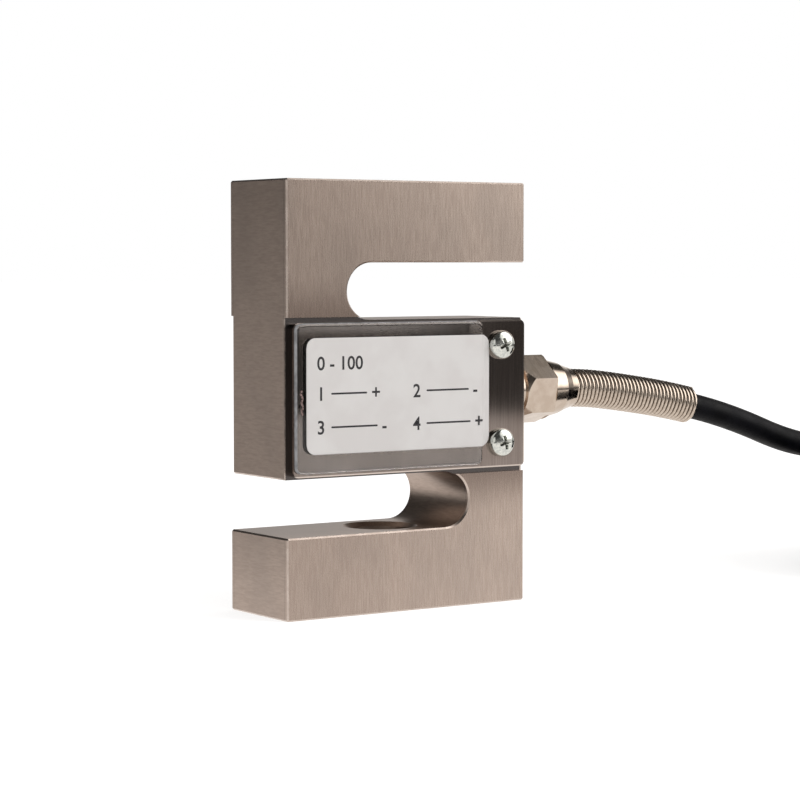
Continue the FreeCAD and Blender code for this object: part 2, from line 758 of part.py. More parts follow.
def make_tie(label, along, side):
    """A flat tie round one of the hank's long sides, with its square head on its +Y face."""
    radius, thick, width = size("cable_radius"), size("tie_thick"), size("tie_width")
    wide = 2 * radius * size("hank_columns")
    tall = 2 * radius * size("hank_layers")
    x, y = hank_corner()
    inner = size("fold_radius") - radius
    near = y + inner if side > 0 else y - inner - wide
    left = x + along - width / 2

    def block(grow):
        corner = FreeCAD.Vector(left, near - grow, thick - grow)
        box = Part.makeBox(width, wide + 2 * grow, tall + 2 * grow, corner)
        lengthways = [edge for edge in box.Edges if runs_along(edge, X_AXIS)]
        return box.makeChamfer(size("hank_bevel") + grow * (2 - math.sqrt(2)), lengthways)

    band = block(thick).cut(block(0))
    proud, head = size("tie_head_margin"), size("tie_head")
    corner = FreeCAD.Vector(left - proud, near + wide + thick / 2, thick + tall / 2)
    buckle = Part.makeBox(width + 2 * proud, head + thick / 2, head + 2 * proud, corner)
    return feature(label, band.fuse(buckle).removeSplitter())


def tail_path():
    x, y = hank_corner()
    far = x + size("hank_straight")
    points = [FreeCAD.Vector(far + along, y + aside, hank_level(0)) for along, aside in TAIL]
    return smooth_path(points)


def make_core(label, across, up, fan):
    """One bare core: it leaves the sheath's end, drops and fans out, with its tip stripped."""
    path, _ = tail_path()
    last = path.Edges[-1]
    end, heading = last.valueAt(last.LastParameter), last.tangentAt(last.LastParameter)
    aside = Z_AXIS.cross(heading)
    reach, radius = size("core_length"), size("core_radius")
    spread = size("core_spread")
    start = end + aside * spread * across + Z_AXIS * spread * up
    drop = (end.z - radius) * CORE_DROP
    tip = end + heading * reach + aside * (spread * across + fan) - Z_AXIS * drop
    points = [start, start + heading * reach * CORE_STRAIGHT, tip]
    path, _ = smooth_path(points)
    bare = tube_along(path, size("core_bare_radius"))
    if label == "shield_drain":
        return feature(label, bare)
    covered = tube_along(first_stretch(path, path.Length - size("core_bare_length")), radius)
    return feature(label, covered.fuse(bare).removeSplitter())


def make_inner_cable():
    """The cable's stretch through the gland, up to the end of its sheath in the beam."""
    cable = doc.addObject("Part::Cylinder", "InnerCable")
    cable.Placement.Rotation = FreeCAD.Rotation(Y_AXIS, 90)
    bind(cable, Radius="cable_radius", PX="sheath_end", PZ=MID,
         Height=NUT_X + " + boss_length + bush_length - sheath_end")
    return sub_part(cable, "inner_cable")


def make_lead(label, place, board):
    """A lead from the end of the sheath, up out of the wire groove to the board's edge."""
    end, aside = size("sheath_end"), size("core_spread")
    edge = number("gauge_pocket_radius + board_clearance + board_length + lead_radius / 2")
    across = number("web_thick / 2 + bay_step + board_thick / 2")
    level = number(MID) + place * size("lead_pitch")
    path, _ = smooth_path([
        FreeCAD.Vector(end, -aside, level),
        FreeCAD.Vector(end - size("lead_straight"), -aside, level),
        FreeCAD.Vector(edge, -across, level),
    ])
    return feature(label, tube_along(path, size("lead_radius")).cut(board.Shape))


# ---------------------------------------------------------------- the whole object

def main():
    make_s_beam()
    make_cover("front_cover", front=True)
    make_cover("rear_cover", front=False)
    make_clear_plate()
    make_label()
    for face in ("front", "rear"):
        for end, sign in (("upper", " + "), ("lower", " - ")):
            make_screw("%s_screw_%s" % (face, end), face == "front", sign)
        gauges = [make_gauge("gauge_%s_%s" % (face, hand), face == "front", side)
                  for hand, side in (("left", -1), ("right", 1))]
        make_coating("%s_coating" % face, face == "front", gauges)
    board = make_board()
    make_gland_body()
    make_gland_nut()
    make_gland_bush()
    make_inner_cable()
    for place, colour in zip((-1.5, -0.5, 0.5, 1.5), ("red", "black", "green", "white")):
        make_lead("lead_" + colour, place, board)

    path, radii = smooth_path(free_route())
    make_spring(path)
    hank = make_hank()
    tube = tube_along(path, size("cable_radius"))
    report_tube("cable", tube, path, radii)
    feature("cable", tube.cut(hank.Shape))
    for label, (along, side) in TIES.items():
        make_tie(label, along, side)
    end_path, end_radii = tail_path()
    tail = tube_along(end_path, size("cable_radius"))
    report_tube("cable_tail", tail, end_path, end_radii)
    feature("cable_tail", tail.cut(hank.Shape))
    for label, (across, up, fan) in CORES.items():
        make_core(label, across, up, fan)
    reckoner.clear("A1")
    doc.recompute()
    check_and_export()


def report_tube(label, tube, path, radii):
    section = math.pi * size("cable_radius") ** 2
    print(label, "radii", [round(radius, 1) for radius in radii], "length", round(path.Length, 1),
          "volume over section x length", round(tube.Volume / section / path.Length, 4))


def check_and_export():
    """Refuse anything failed, empty or not valid, then write each sub-part to its own file."""
    failed = [item.Name for item in doc.Objects if {"Invalid", "Error"} & set(item.State)]
    if failed:
        raise RuntimeError("failed objects: %s" % failed)
    for item in SUB_PARTS:
        if item.Shape.isNull() or not item.Shape.isValid() or not item.Shape.Solids:
            raise RuntimeError(item.Label + " has no valid solid")
    os.makedirs("parts", exist_ok=True)
    for item in SUB_PARTS:
        item.Shape.exportStep("parts/%s.step" % item.Label)
        box = item.Shape.optimalBoundingBox()
        print("%-20s %2d solid  %9.1f mm3  x %7.2f %7.2f  y %7.2f %7.2f  z %7.2f %7.2f" % (
            item.Label, len(item.Shape.Solids), item.Shape.Volume,
            box.XMin, box.XMax, box.YMin, box.YMax, box.ZMin, box.ZMax))


main()
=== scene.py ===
# %% [markdown]
# # An S type load cell, finished in Blender
#
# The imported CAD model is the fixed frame: a slotted steel block with a cover on each side, a cable
# gland, and a folded cable beside it. This file gives every part its finish, and makes the pieces
# that look best as meshes or curves: the screws, the clear plate and its label, the threads, the
# wire spring, the cable and its ties. All places come from the CAD nodes' boxes.

# %% Load the frame
import math

import bmesh
import bpy
from mathutils import Matrix, Vector


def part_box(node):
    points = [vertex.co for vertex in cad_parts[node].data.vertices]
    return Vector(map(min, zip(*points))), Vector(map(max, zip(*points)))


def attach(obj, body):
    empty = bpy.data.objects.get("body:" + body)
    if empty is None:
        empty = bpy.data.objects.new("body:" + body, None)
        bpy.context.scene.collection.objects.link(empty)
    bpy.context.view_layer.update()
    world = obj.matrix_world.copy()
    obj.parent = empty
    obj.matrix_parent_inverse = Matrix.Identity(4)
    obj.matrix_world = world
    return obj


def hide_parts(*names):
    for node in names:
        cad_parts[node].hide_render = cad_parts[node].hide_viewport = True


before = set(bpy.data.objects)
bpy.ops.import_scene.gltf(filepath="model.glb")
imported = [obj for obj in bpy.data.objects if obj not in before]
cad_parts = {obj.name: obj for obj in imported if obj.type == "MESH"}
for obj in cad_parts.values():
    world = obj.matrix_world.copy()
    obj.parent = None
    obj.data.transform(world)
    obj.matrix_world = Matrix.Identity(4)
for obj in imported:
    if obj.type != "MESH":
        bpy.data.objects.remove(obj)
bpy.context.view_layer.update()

MM = 0.001

# %% [markdown]
# ## Camera
#
# The cell stands turned a third of the way towards its left side, seen from just above its middle.
# A long lens keeps the upright edges nearly parallel.

# %% Camera
def put(name, data):
    """A new object in the scene."""
    item = bpy.data.objects.new(name, data)
    bpy.context.collection.objects.link(item)
    return item


camera_data = bpy.data.cameras.new("camera")
camera_data.sensor_width = 36
camera_data.lens = 110
camera_data.clip_start = 0.01
camera = put("camera", camera_data)
turn, tilt = math.radians(34.18), math.radians(-3.26)
ahead = Vector((math.sin(turn) * math.cos(tilt), math.cos(turn) * math.cos(tilt), math.sin(tilt)))
camera.location = Vector((-243.9, -365.7, 62.1)) * MM
camera.rotation_euler = ahead.to_track_quat("-Z", "Y").to_euler()
bpy.context.scene.camera = camera
bpy.context.scene.view_settings.view_transform = "Standard"
print("camera is", round(camera.location.length, 3), "m from the load axis")

# %% [markdown]
# ## The cable's line
#
# The cable is one NURBS curve through a few given points, from the gland down to the hank.
# The hank's turns come from a loop: they fill a block three columns wide and five layers high, and
# each turn moves to the next place in the block as it goes round the near end. Where a turn steps
# down a layer it bulges a little, because its neighbours are moving sideways at the same spot.

# %% Lines through control points
def new_curve(name, lines, thick=0.0, kind="NURBS", roundness=5):
    """A curve with one open spline for each list of points, and a round section thick across."""
    curve = bpy.data.curves.new(name, "CURVE")
    curve.dimensions = "3D"
    curve.resolution_u = 8
    curve.bevel_depth = thick / 2
    curve.bevel_resolution = roundness
    curve.use_fill_caps = True
    for points in lines:
        line = curve.splines.new(kind)
        line.points.add(len(points) - 1)
        for place, point in zip(line.points, points):
            place.co = (*point, 1.0)
        if kind == "NURBS":
            line.order_u = 3
            line.use_endpoint_u = True
    return curve


def plain_mesh(item):
    """The mesh that an object's curve, text or modifiers come to. The object itself is removed."""
    mesh = bpy.data.meshes.new_from_object(item.evaluated_get(bpy.context.evaluated_depsgraph_get()))
    bpy.data.objects.remove(item)
    return mesh


# %% Route of the free cable
sheath_low, sheath_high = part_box("inner_cable")
CABLE = sheath_high.z - sheath_low.z
exit_point = Vector((sheath_high.x, 0, (sheath_low.z + sheath_high.z) / 2))
free_route = [Vector(point) * MM for point in (
    (45.0, 0, 38.1), (53.5, 0, 37.15), (68.0, 0, 34.95), (84.0, 0.2, 31.2),
    (102.0, 1.2, 24.75), (116.5, 3.6, 23.5), (131.0, 5.0, 23.5))]
print("cable leaves the gland at", [round(value / MM, 1) for value in exit_point])

# %% Turns of the hank
hank_low, hank_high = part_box("cable_hank")
outer = (hank_high.y - hank_low.y) / 2
middle_y = (hank_low.y + hank_high.y) / 2
near_x, far_x = hank_low.x + outer, hank_high.x - outer
layers = round((hank_high.z - hank_low.z) / CABLE)
columns = [outer - CABLE * (place + 0.5) for place in range(3)]
BULGE = 1.9 * MM
ARC_POINTS = 6  # control points of one round end
ARC_STEP = math.pi / ARC_POINTS


def end_point(centre_x, radius, level, angle):
    """A control point beside a round end: the curve runs just inside its control points."""
    reach = radius / math.cos(ARC_STEP / 2)
    return Vector((centre_x + reach * math.cos(angle), middle_y + reach * math.sin(angle), level))


def hank_route():
    """Control points of all turns, from the top layer down. Every other layer runs inwards."""
    places = []
    for layer in reversed(range(layers)):
        row = columns if len(places) % 2 == 0 else columns[::-1]
        places += [(radius, hank_low.z + CABLE * (layer + 0.5)) for radius in row]
    route = []
    for (radius, level), following in zip(places, places[1:] + [None]):
        route.append(Vector(((near_x + far_x) / 2, middle_y + radius, level)))
        for step in range(ARC_POINTS):
            route.append(end_point(far_x, radius, level, math.pi / 2 - ARC_STEP * (step + 0.5)))
        if following is None:
            break
        route.append(Vector(((near_x + far_x) / 2, middle_y - radius, level)))
        steps_down = following[0] == radius
        outward = 1 if radius > sum(columns) / 3 else -1
        for step in range(ARC_POINTS):
            way = (step + 0.5) / ARC_POINTS
            share = (1 - math.cos(way * math.pi)) / 2
            around = radius + (following[0] - radius) * share
            if steps_down:
                around += outward * BULGE * math.sin(way * math.pi)
            height = level + (following[1] - level) * share
            route.append(end_point(near_x, around, height, -math.pi / 2 - ARC_STEP * (step + 0.5)))
    return route


turns = hank_route()
print("hank:", len(columns) * layers - 0.5, "turns,", len(turns), "control points")

# %% Route of the free end, and the whole cable
end_level = hank_low.z + CABLE / 2
tail_route = [Vector((far_x + along * MM, middle_y + aside * MM, end_level))
              for along, aside in ((-6.0, -14.4), (-17.0, -9.6), (-23.5, -7.9))]
cable_route = [exit_point, *free_route, *turns, *tail_route]
cable = put("signal_cable", new_curve("signal_cable", [cable_route], CABLE))


def line_points(route):
    """Points along the NURBS line itself, read from a copy with no section."""
    mesh = plain_mesh(put("bare_line", new_curve("bare_line", [route])))
    points = [vertex.co.copy() for vertex in mesh.vertices]
    bpy.data.meshes.remove(mesh)
    return points


cable_line = line_points(cable_route)
cable_length = sum((b - a).length for a, b in zip(cable_line, cable_line[1:]))
print("cable length:", round(cable_length, 3), "m")

# %% [markdown]
# ## How node trees are written here
#
# The studio, every finish and every Geometry Nodes recipe is a tree of nodes. Clicked together by
# hand they would be hard to read later, so a small class writes them: one call adds a node, feeds
# its inputs with values or with other nodes' outputs, and gives its output back.

# %% A small class for node trees
class Wiring:
    """A node tree being written, one call for each node."""

    def __init__(self, tree):
        self.tree = tree

    def add(self, kind, inputs=None, output=0, **settings):
        node = self.tree.nodes.new(kind)
        for setting, value in settings.items():
            setattr(node, setting, value)
        for socket, value in (inputs or {}).items():
            self.feed(node.inputs[socket], value)
        return node.outputs[output] if node.outputs else node

    def feed(self, socket, value):
        if isinstance(value, bpy.types.NodeSocket):
            self.tree.links.new(value, socket)
        else:
            socket.default_value = value

    def math(self, operation, first, second=0.0):
        return self.add("ShaderNodeMath", {0: first, 1: second}, operation=operation)

    def vector(self, operation, first, second, output=0):
        return self.add("ShaderNodeVectorMath", {0: first, 1: second}, output, operation=operation)

    def along(self, vector, direction):
        """How far a vector reaches in a direction."""
        return self.vector("DOT_PRODUCT", vector, direction, "Value")

    def scaled(self, vector, factor):
        return self.add("ShaderNodeVectorMath", {0: vector, "Scale": factor}, operation="SCALE")

    def pick(self, share, first, second):
        """A number between two others."""
        return self.add("ShaderNodeMix", {0: share, 2: first, 3: second}, data_type="FLOAT")

    def ease(self, value, low, high, bottom=0.0, top=1.0):
        """A soft step from bottom to top while the value goes from low to high."""
        return self.add("ShaderNodeMapRange", {"Value": value, "From Min": low, "From Max": high,
                                               "To Min": bottom, "To Max": top},
                        interpolation_type="SMOOTHSTEP")


# %% [markdown]
# ## Studio
#
# The cell stands on a white sheet in a dim room, with one large soft lamp in front on the right. The
# background is white to the camera. Polished metal takes its tones from what it mirrors, so its
# reflections get a room of their own: the sheet is bright for a third of a metre and the floor past it
# is dim. The lamp is a bright field with a soft edge. A pale wall stands at the left, the horizon is
# bright at the back, and one corner at the back left is dark, which keeps the left side face dark.

# %% World
# Directions in which things lie, seen from the cell.
LAMP = (0.627, -0.527, 0.574)
LAMP_EDGE = (0.83, 0.56, 0.0)
LEFT_WALL = (-0.9, -0.4, 0.17)
BACK_LEFT = (-0.62, 0.78, 0.0)
# How bright each thing is in a mirror. A strength of 1 is white.
LAMP_LEVEL, WALL_LEVEL, HORIZON_LEVEL, ROOM_LEVEL = 2.7, 0.8, 0.95, 0.055
# The plain light on everything that doesn't mirror.
SKY_LEVEL = 0.55


def mirrored_room(sky, way):
    """How bright the room is in metal, in each direction.

    The limits of each step are cosines: 1 is straight at a thing, and 0 is square to it.
    """
    split = sky.add("ShaderNodeSeparateXYZ", {0: way}).node
    lamp = sky.math("MULTIPLY", sky.ease(sky.along(way, LAMP), 0.76, 0.9, top=LAMP_LEVEL),
                    sky.ease(sky.along(way, LAMP_EDGE), -0.15, 0.15, bottom=0.5))
    wall = sky.ease(sky.along(way, LEFT_WALL), 0.85, 0.95, top=WALL_LEVEL)
    horizon = sky.math("MULTIPLY", sky.ease(split.outputs["Z"], 0.45, 0.2),
                       sky.ease(split.outputs["Y"], -0.4, 0.3, bottom=0.1, top=HORIZON_LEVEL))
    bright = sky.math("MAXIMUM", lamp, sky.math("MAXIMUM", wall, horizon))
    kept = sky.ease(sky.along(way, BACK_LEFT), 0.72, 0.3, bottom=0.02)
    return sky.math("ADD", sky.math("MULTIPLY", bright, kept), ROOM_LEVEL)


def studio_world():
    world = bpy.data.worlds.new("studio")
    world.use_nodes = True
    sky = Wiring(world.node_tree)
    sky.tree.nodes.clear()
    way = sky.add("ShaderNodeTexCoord", output="Generated")
    mirrored = sky.add("ShaderNodeBackground", {"Color": (1.0, 0.97, 0.94, 1),
                                                "Strength": mirrored_room(sky, way)})
    seen = sky.add("ShaderNodeBackground", {"Color": (1, 1, 1, 1)})
    lighting = sky.add("ShaderNodeBackground", {"Color": (1.0, 0.985, 0.97, 1), "Strength": SKY_LEVEL})
    rays = sky.add("ShaderNodeLightPath").node
    first = sky.add("ShaderNodeMixShader", {0: rays.outputs["Is Glossy Ray"], 1: lighting, 2: mirrored})
    clear = sky.math("MAXIMUM", rays.outputs["Is Camera Ray"], rays.outputs["Is Transmission Ray"])
    second = sky.add("ShaderNodeMixShader", {0: clear, 1: first, 2: seen})
    sky.add("ShaderNodeOutputWorld", {"Surface": second})
    bpy.context.scene.world = world
    return len(sky.tree.nodes)


print("world:", studio_world(), "nodes")

# %% Floor
FLOOR_SIDE = 12.0
SHEET_CENTRE = (0.12, -0.17, 0.0)
SHEET_REACH, SHEET_SOFT = 0.355, 0.05
# How bright each part of the floor is in a mirror.
SHEET_LEVEL, BEHIND_LEVEL, FAR_LEVEL, FLOOR_LEVEL = 0.95, 0.75, 0.9, 0.1


def mirrored_floor(card):
    """How bright the floor is in metal, at each place. The limits of each step are in metres."""
    place = card.add("ShaderNodeTexCoord", output="Object")
    reach = card.vector("DISTANCE", place, SHEET_CENTRE, "Value")
    sheet = card.ease(reach, SHEET_REACH + SHEET_SOFT, SHEET_REACH - SHEET_SOFT, top=SHEET_LEVEL)
    away = card.along(place, BACK_LEFT)
    behind = card.math("MULTIPLY", card.ease(away, 0.1, 0.45, top=BEHIND_LEVEL),
                       card.ease(away, 1.9, 0.8, bottom=0.25))
    past_lamp = card.ease(card.along(place, LAMP_EDGE), 0.09, -0.03)
    far = card.math("MULTIPLY", card.ease(reach, 1.35, 1.75, top=FAR_LEVEL), past_lamp)
    brightest = card.math("MAXIMUM", card.math("MAXIMUM", sheet, behind), far)
    return card.math("ADD", brightest, FLOOR_LEVEL)


def floor_paint():
    paint = bpy.data.materials.new("pale_floor")
    paint.use_nodes = True
    card = Wiring(paint.node_tree)
    card.tree.nodes.clear()
    rays = card.add("ShaderNodeLightPath").node
    matt = card.add("ShaderNodeBsdfDiffuse", {"Color": (0.8, 0.8, 0.8, 1)})
    whiter = card.math("MULTIPLY", rays.outputs["Is Camera Ray"], 0.6)
    glow = card.add("ShaderNodeEmission", {"Strength": whiter})
    seen = card.add("ShaderNodeAddShader", {0: matt, 1: glow})
    mirrored = card.add("ShaderNodeEmission", {"Color": (1.0, 0.96, 0.93, 1),
                                               "Strength": mirrored_floor(card)})
    both = card.add("ShaderNodeMixShader", {0: rays.outputs["Is Glossy Ray"], 1: seen, 2: mirrored})
    card.add("ShaderNodeOutputMaterial", {"Surface": both})
    return paint


def pale_floor():
    half = FLOOR_SIDE / 2
    mesh = bpy.data.meshes.new("floor")
    corners = [(-half, -half, 0), (half, -half, 0), (half, half, 0), (-half, half, 0)]
    mesh.from_pydata(corners, [], [(0, 1, 2, 3)])
    mesh.materials.append(floor_paint())
    put("floor", mesh)


pale_floor()
print("floor:", FLOOR_SIDE, "m square")

# %% Lamps
LAMP_SIDE = 0.8
LAMP_AIM = Vector((0, 0, 0.04))


def soft_lamp(name, place, power):
    """A square lamp that faces the cell. Metal shows the room's own bright field instead of it."""
    data = bpy.data.lights.new(name, "AREA")
    data.size = LAMP_SIDE
    data.energy = power
    lamp = put(name, data)
    lamp.location = place
    lamp.rotation_euler = (LAMP_AIM - Vector(place)).to_track_quat("-Z", "Y").to_euler()
    lamp.visible_glossy = False


soft_lamp("key", (0.9, -0.9, 0.9), 7)
soft_lamp("fill", (-1.2, -0.5, 0.7), 3)
print("two lamps,", LAMP_SIDE, "m square")

# %% [markdown]
# ## How a finish is written
#
# Every finish is a Principled shader fed by noise on Object coordinates, so the grain keeps its
# real size in millimetres. An image texture would have to be painted and wrapped for each metal.
# Noise stretched along one axis gives brush and milling lines at once, and stays sharp close up.

# %% Recipe for a finish
def tone(red, green, blue):
    """A colour given as screen values from 0 to 255, as the shader wants it."""
    return (*[((value / 255 + 0.055) / 1.055) ** 2.4 for value in (red, green, blue)], 1.0)


class Finish(Wiring):
    """A material being made: its shader, and the nodes that feed it."""

    def __init__(self, name, **values):
        self.material = bpy.data.materials.new(name)
        self.material.use_nodes = True
        super().__init__(self.material.node_tree)
        self.shader = self.tree.nodes["Principled BSDF"]
        self.set(**values)
        self.place = self.add("ShaderNodeTexCoord", output="Object")

    def set(self, **values):
        """Feed the shader's sockets: Base_Color is the socket Base Color."""
        for socket, value in values.items():
            self.feed(self.shader.inputs[socket.replace("_", " ")], value)

    def axes(self):
        """The point's x, y and z in millimetres."""
        split = self.add("ShaderNodeSeparateXYZ", {0: self.scaled(self.place, 1 / MM)}).node
        return split.outputs[0], split.outputs[1], split.outputs[2]

    def grain(self, size, detail=2.0, rough=0.5, distortion=0.0):
        """Noise with spots about size = (x, y, z) millimetres across."""
        spot = self.vector("MULTIPLY", self.place, [1 / (value * MM) for value in size])
        return self.add("ShaderNodeTexNoise", {"Vector": spot, "Scale": 1.0, "Detail": detail,
                                               "Roughness": rough, "Distortion": distortion})

    def fine(self, size):
        """Noise with even spots and more detail."""
        return self.grain((size,) * 3, 3)

    def spread(self, noise, low=0.0, high=1.0):
        """Noise stretched to run from low to high, since it rarely leaves 0.3 to 0.7."""
        return self.ease(noise, 0.3, 0.7, low, high)

    def blend(self, share, first, second):
        """A colour between two others."""
        return self.add("ShaderNodeMix", {0: share, 6: first, 7: second}, 2, data_type="RGBA")

    def between(self, value, low, high):
        """1 where the value lies between two limits, else 0."""
        return self.math("MULTIPLY", self.math("GREATER_THAN", value, low),
                         self.math("LESS_THAN", value, high))

    def mottle(self, low, high, size):
        """A colour that wanders softly between two tones."""
        return self.blend(self.ease(self.fine(size), 0.35, 0.65), low, high)

    def surface(self, noise, smoothest, roughest, relief=0.0):
        """Roughness that follows some noise, and relief in millimetres from the same noise."""
        self.set(Roughness=self.spread(noise, smoothest, roughest))
        if relief:
            self.bumps(noise, relief)

    def bumps(self, height, depth):
        """Relief of a depth in millimetres."""
        self.set(Normal=self.add("ShaderNodeBump", {"Height": height, "Distance": depth * MM}))


# %% Pieces and CAD nodes
def dress(material, *nodes):
    """Give CAD nodes a finish."""
    for node in nodes:
        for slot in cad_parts[node].material_slots:
            slot.material = material


def keep(piece, slot, *nodes):
    """Make a finished piece part of the cell, in place of some CAD nodes."""
    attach(piece, "root")
    if nodes:
        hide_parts(*nodes)


def new_piece(name, mesh, material):
    mesh.materials.clear()
    mesh.materials.append(material)
    return put(name, mesh)


def smooth(mesh, angle=35):
    """Smooth shading that keeps edges sharper than an angle."""
    mesh.shade_smooth()
    mesh.set_sharp_from_angle(angle=math.radians(angle))
    return mesh


print("nodes in the frame:", len(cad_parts))

# %% [markdown]
# ## Ground steel
#
# The body is one block of alloy steel, nickel washed, ground upright on its two wide faces and
# milled across everywhere else. Lines that run one way are noise squeezed across them. They
# shift the tone a little and, through a very shallow bump, spread reflections across the lines, as
# real grinding does. The broken edges are rubbed bright, partly bare metal and partly a painted
# highlight. The steel is browner close to the covers, painted shade makes it a little darker towards
# the left, and the seats that the covers lie in are painted nearly black as shade.

# %% The body's finish
beam_low, beam_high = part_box("s_beam")
cover_low, cover_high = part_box("front_cover")
EDGE_BREAK, NEARLY = 0.3, 0.01  # mm
DARKENING_REACH = 9.0  # mm past the covers


def ground_steel():
    finish = Finish("ground_steel", Metallic=1.0)
    x, y, z = finish.axes()
    width, depth = finish.math("ABSOLUTE", x), finish.math("ABSOLUTE", y)
    half_width, half_depth = beam_high.x / MM, beam_high.y / MM
    wide_face = finish.math("GREATER_THAN", depth, half_depth - NEARLY)
    upright = finish.grain((0.2, 2.0, 3.6), detail=4, rough=0.6)
    across = finish.grain((0.3, 2.2, 0.3), detail=3, rough=0.6, distortion=0.5)
    lines = finish.pick(wide_face, across, upright)
    clouds = finish.grain((9, 9, 16), detail=2)
    colour = finish.blend(finish.spread(lines), tone(177, 161, 150), tone(195, 179, 168))
    colour = finish.blend(finish.ease(clouds, 0.35, 0.7, top=0.35), colour, tone(160, 148, 140))
    # Browner and darker within a few millimetres above and below the covers.
    past_cover = finish.math("MAXIMUM", finish.math("SUBTRACT", z, cover_high.z / MM),
                             finish.math("SUBTRACT", cover_low.z / MM, z))
    tone_shift = finish.math("MULTIPLY", wide_face, finish.ease(past_cover, DARKENING_REACH, 0.0, top=0.75))
    colour = finish.blend(tone_shift, colour, tone(124, 109, 101))
    # Painted shade: the steel is darkened towards the left.
    painted_shade_ramp = finish.ease(finish.math("MULTIPLY", x, wide_face), -half_width, half_width)
    colour = finish.blend(painted_shade_ramp, finish.blend(0.3, colour, tone(128, 112, 103)), colour)
    # The broken edges: rubbed bare, and brightened further as a painted highlight.
    edges = [finish.between(value, half - EDGE_BREAK + NEARLY, half - NEARLY)
             for value, half in ((depth, half_depth), (width, half_width))]
    rubbed_and_highlit = finish.math("MULTIPLY", finish.math("MAXIMUM", *edges),
                         finish.ease(finish.grain((2, 2, 2)), 0.3, 0.6, 0.5, 0.9))
    # Painted shade: the seat floor beside each cover, where shade falls, is painted nearly black.
    seat_depth = abs(cover_high.y) / MM
    seat = finish.between(depth, seat_depth - 2 * NEARLY, seat_depth + 2 * NEARLY)
    colour = finish.blend(seat, colour, tone(92, 88, 87))
    finish.set(Base_Color=finish.blend(rubbed_and_highlit, colour, tone(206, 193, 184)))
    plain = finish.pick(seat, finish.pick(wide_face, 0.34, 0.24), 0.2)
    dull = finish.math("ADD", plain, finish.math("MULTIPLY", lines, 0.06))
    finish.set(Roughness=finish.pick(rubbed_and_highlit, dull, 0.26))
    finish.bumps(lines, 0.003)
    return finish.material


dress(ground_steel(), "s_beam")
print("ground steel on a body of", [round(side / MM, 1) for side in beam_high - beam_low], "mm")

# %% [markdown]
# ## Covers
#
# Each side of the gauge chamber is closed by a stamped stainless plate with an upright brush. It is
# smoother than the body, so it mirrors the dim room as a dark field between the sheet and the lamp.
# Lines of fine noise carry the brush, and a soft darker tone stands for the rolled sheet's skin. The
# sheared edges at the top, the bottom and the right get a bright painted highlight.

# %% The covers' finish
EDGE_HIGHLIGHT, END_HIGHLIGHT = 0.25, 0.2  # mm


def cover_steel():
    finish = Finish("cover_steel", Metallic=1.0)
    x, _, z = finish.axes()
    brush = finish.grain((0.14, 3.0, 11.0), detail=4, rough=0.6)
    colour = finish.blend(finish.spread(brush), tone(127, 117, 112), tone(148, 138, 132))
    stain = finish.grain((14, 14, 5), detail=2)
    colour = finish.blend(finish.ease(stain, 0.4, 0.7, top=0.4), colour, tone(122, 108, 100))
    middle = (cover_low.z + cover_high.z) / 2 / MM
    from_middle = finish.math("ABSOLUTE", finish.math("SUBTRACT", z, middle))
    half_height = (cover_high.z - cover_low.z) / 2 / MM
    # Painted highlight: a bright band along the top, bottom and right-hand edges.
    rim = finish.math("MAXIMUM",
                      finish.math("GREATER_THAN", from_middle, half_height - EDGE_HIGHLIGHT),
                      finish.math("GREATER_THAN", x, cover_high.x / MM - END_HIGHLIGHT))
    finish.set(Base_Color=finish.blend(rim, colour, tone(205, 194, 186)))
    finish.set(Roughness=finish.math("ADD", finish.math("MULTIPLY", brush, 0.05), 0.04))
    finish.bumps(brush, 0.0022)
    return finish.material


dress(cover_steel(), "front_cover", "rear_cover")
print("covers are", round((cover_high.y - cover_low.y) / MM, 2), "mm thick")

# %% [markdown]
# ## Clear plate
#
# A small plate of clear acrylic lies on the front cover, and its edges catch the light. It could be a
# block with a bevel, but its right-hand end is rounded over far more than its other edges. So the
# front is a height field: columns of points whose depth follows the rounding, set close together where
# it turns and flat elsewhere. The shader is clear glass with acrylic's index of 1.49. Where the saw
# left the rim dull, a second finish shows on the faces that look sideways.

# %% Helpers for outlines and meshes
def round_outline(low, high, radius, steps):
    """Points of a round-cornered rectangle in X and Z, going round once."""
    points = []
    for corner, (right, up) in enumerate(((1, 1), (0, 1), (0, 0), (1, 0))):
        centre_x = high.x - radius if right else low.x + radius
        centre_z = high.z - radius if up else low.z + radius
        for step in range(steps + 1):
            angle = (corner + step / steps) * math.pi / 2
            points.append((centre_x + radius * math.cos(angle), centre_z + radius * math.sin(angle)))
    return points


def half_height(x, low, high, corner):
    """Half the height, at x, of a round-cornered rectangle between two corners of a box."""
    inset = corner - min(x - low.x, high.x - x, corner)
    return (high.z - low.z) / 2 - corner + math.sqrt(corner ** 2 - inset ** 2)


def mesh_of(shape, name, closed=True):
    """A bmesh as a mesh. The faces of a closed one are turned outwards first."""
    if closed:
        bmesh.ops.recalc_face_normals(shape, faces=shape.faces)
    mesh = bpy.data.meshes.new(name)
    shape.to_mesh(mesh)
    shape.free()
    return mesh


# %% The plate's rounded edges
plate_low, plate_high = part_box("clear_plate")
PLATE_CORNER = 1.3 * MM
PLATE_BACK = plate_high.y - 0.02 * MM
PLATE_LIP = 0.25 * MM
EDGE_ROUND, END_ROUND = 0.5 * MM, 2.6 * MM
PLATE_STEPS = 24  # columns in the flat stretch, and again in the rounded end
EDGE_STEPS = 6
plate_fall = PLATE_BACK - PLATE_LIP - plate_low.y


def rounding(inward, radius):
    """How much of its height a quarter-round edge has lost at a distance in from the edge."""
    share = 1 - min(max(inward / radius, 0.0), 1.0)
    return 1 - math.sqrt(1 - share * share)


def end_fall(x):
    """How far the plate's face has dropped at x towards its long rounded right-hand end."""
    return plate_fall * rounding(plate_high.x - x, END_ROUND)


print("the plate's face drops", round(plate_fall / MM, 2), "mm at its edges")

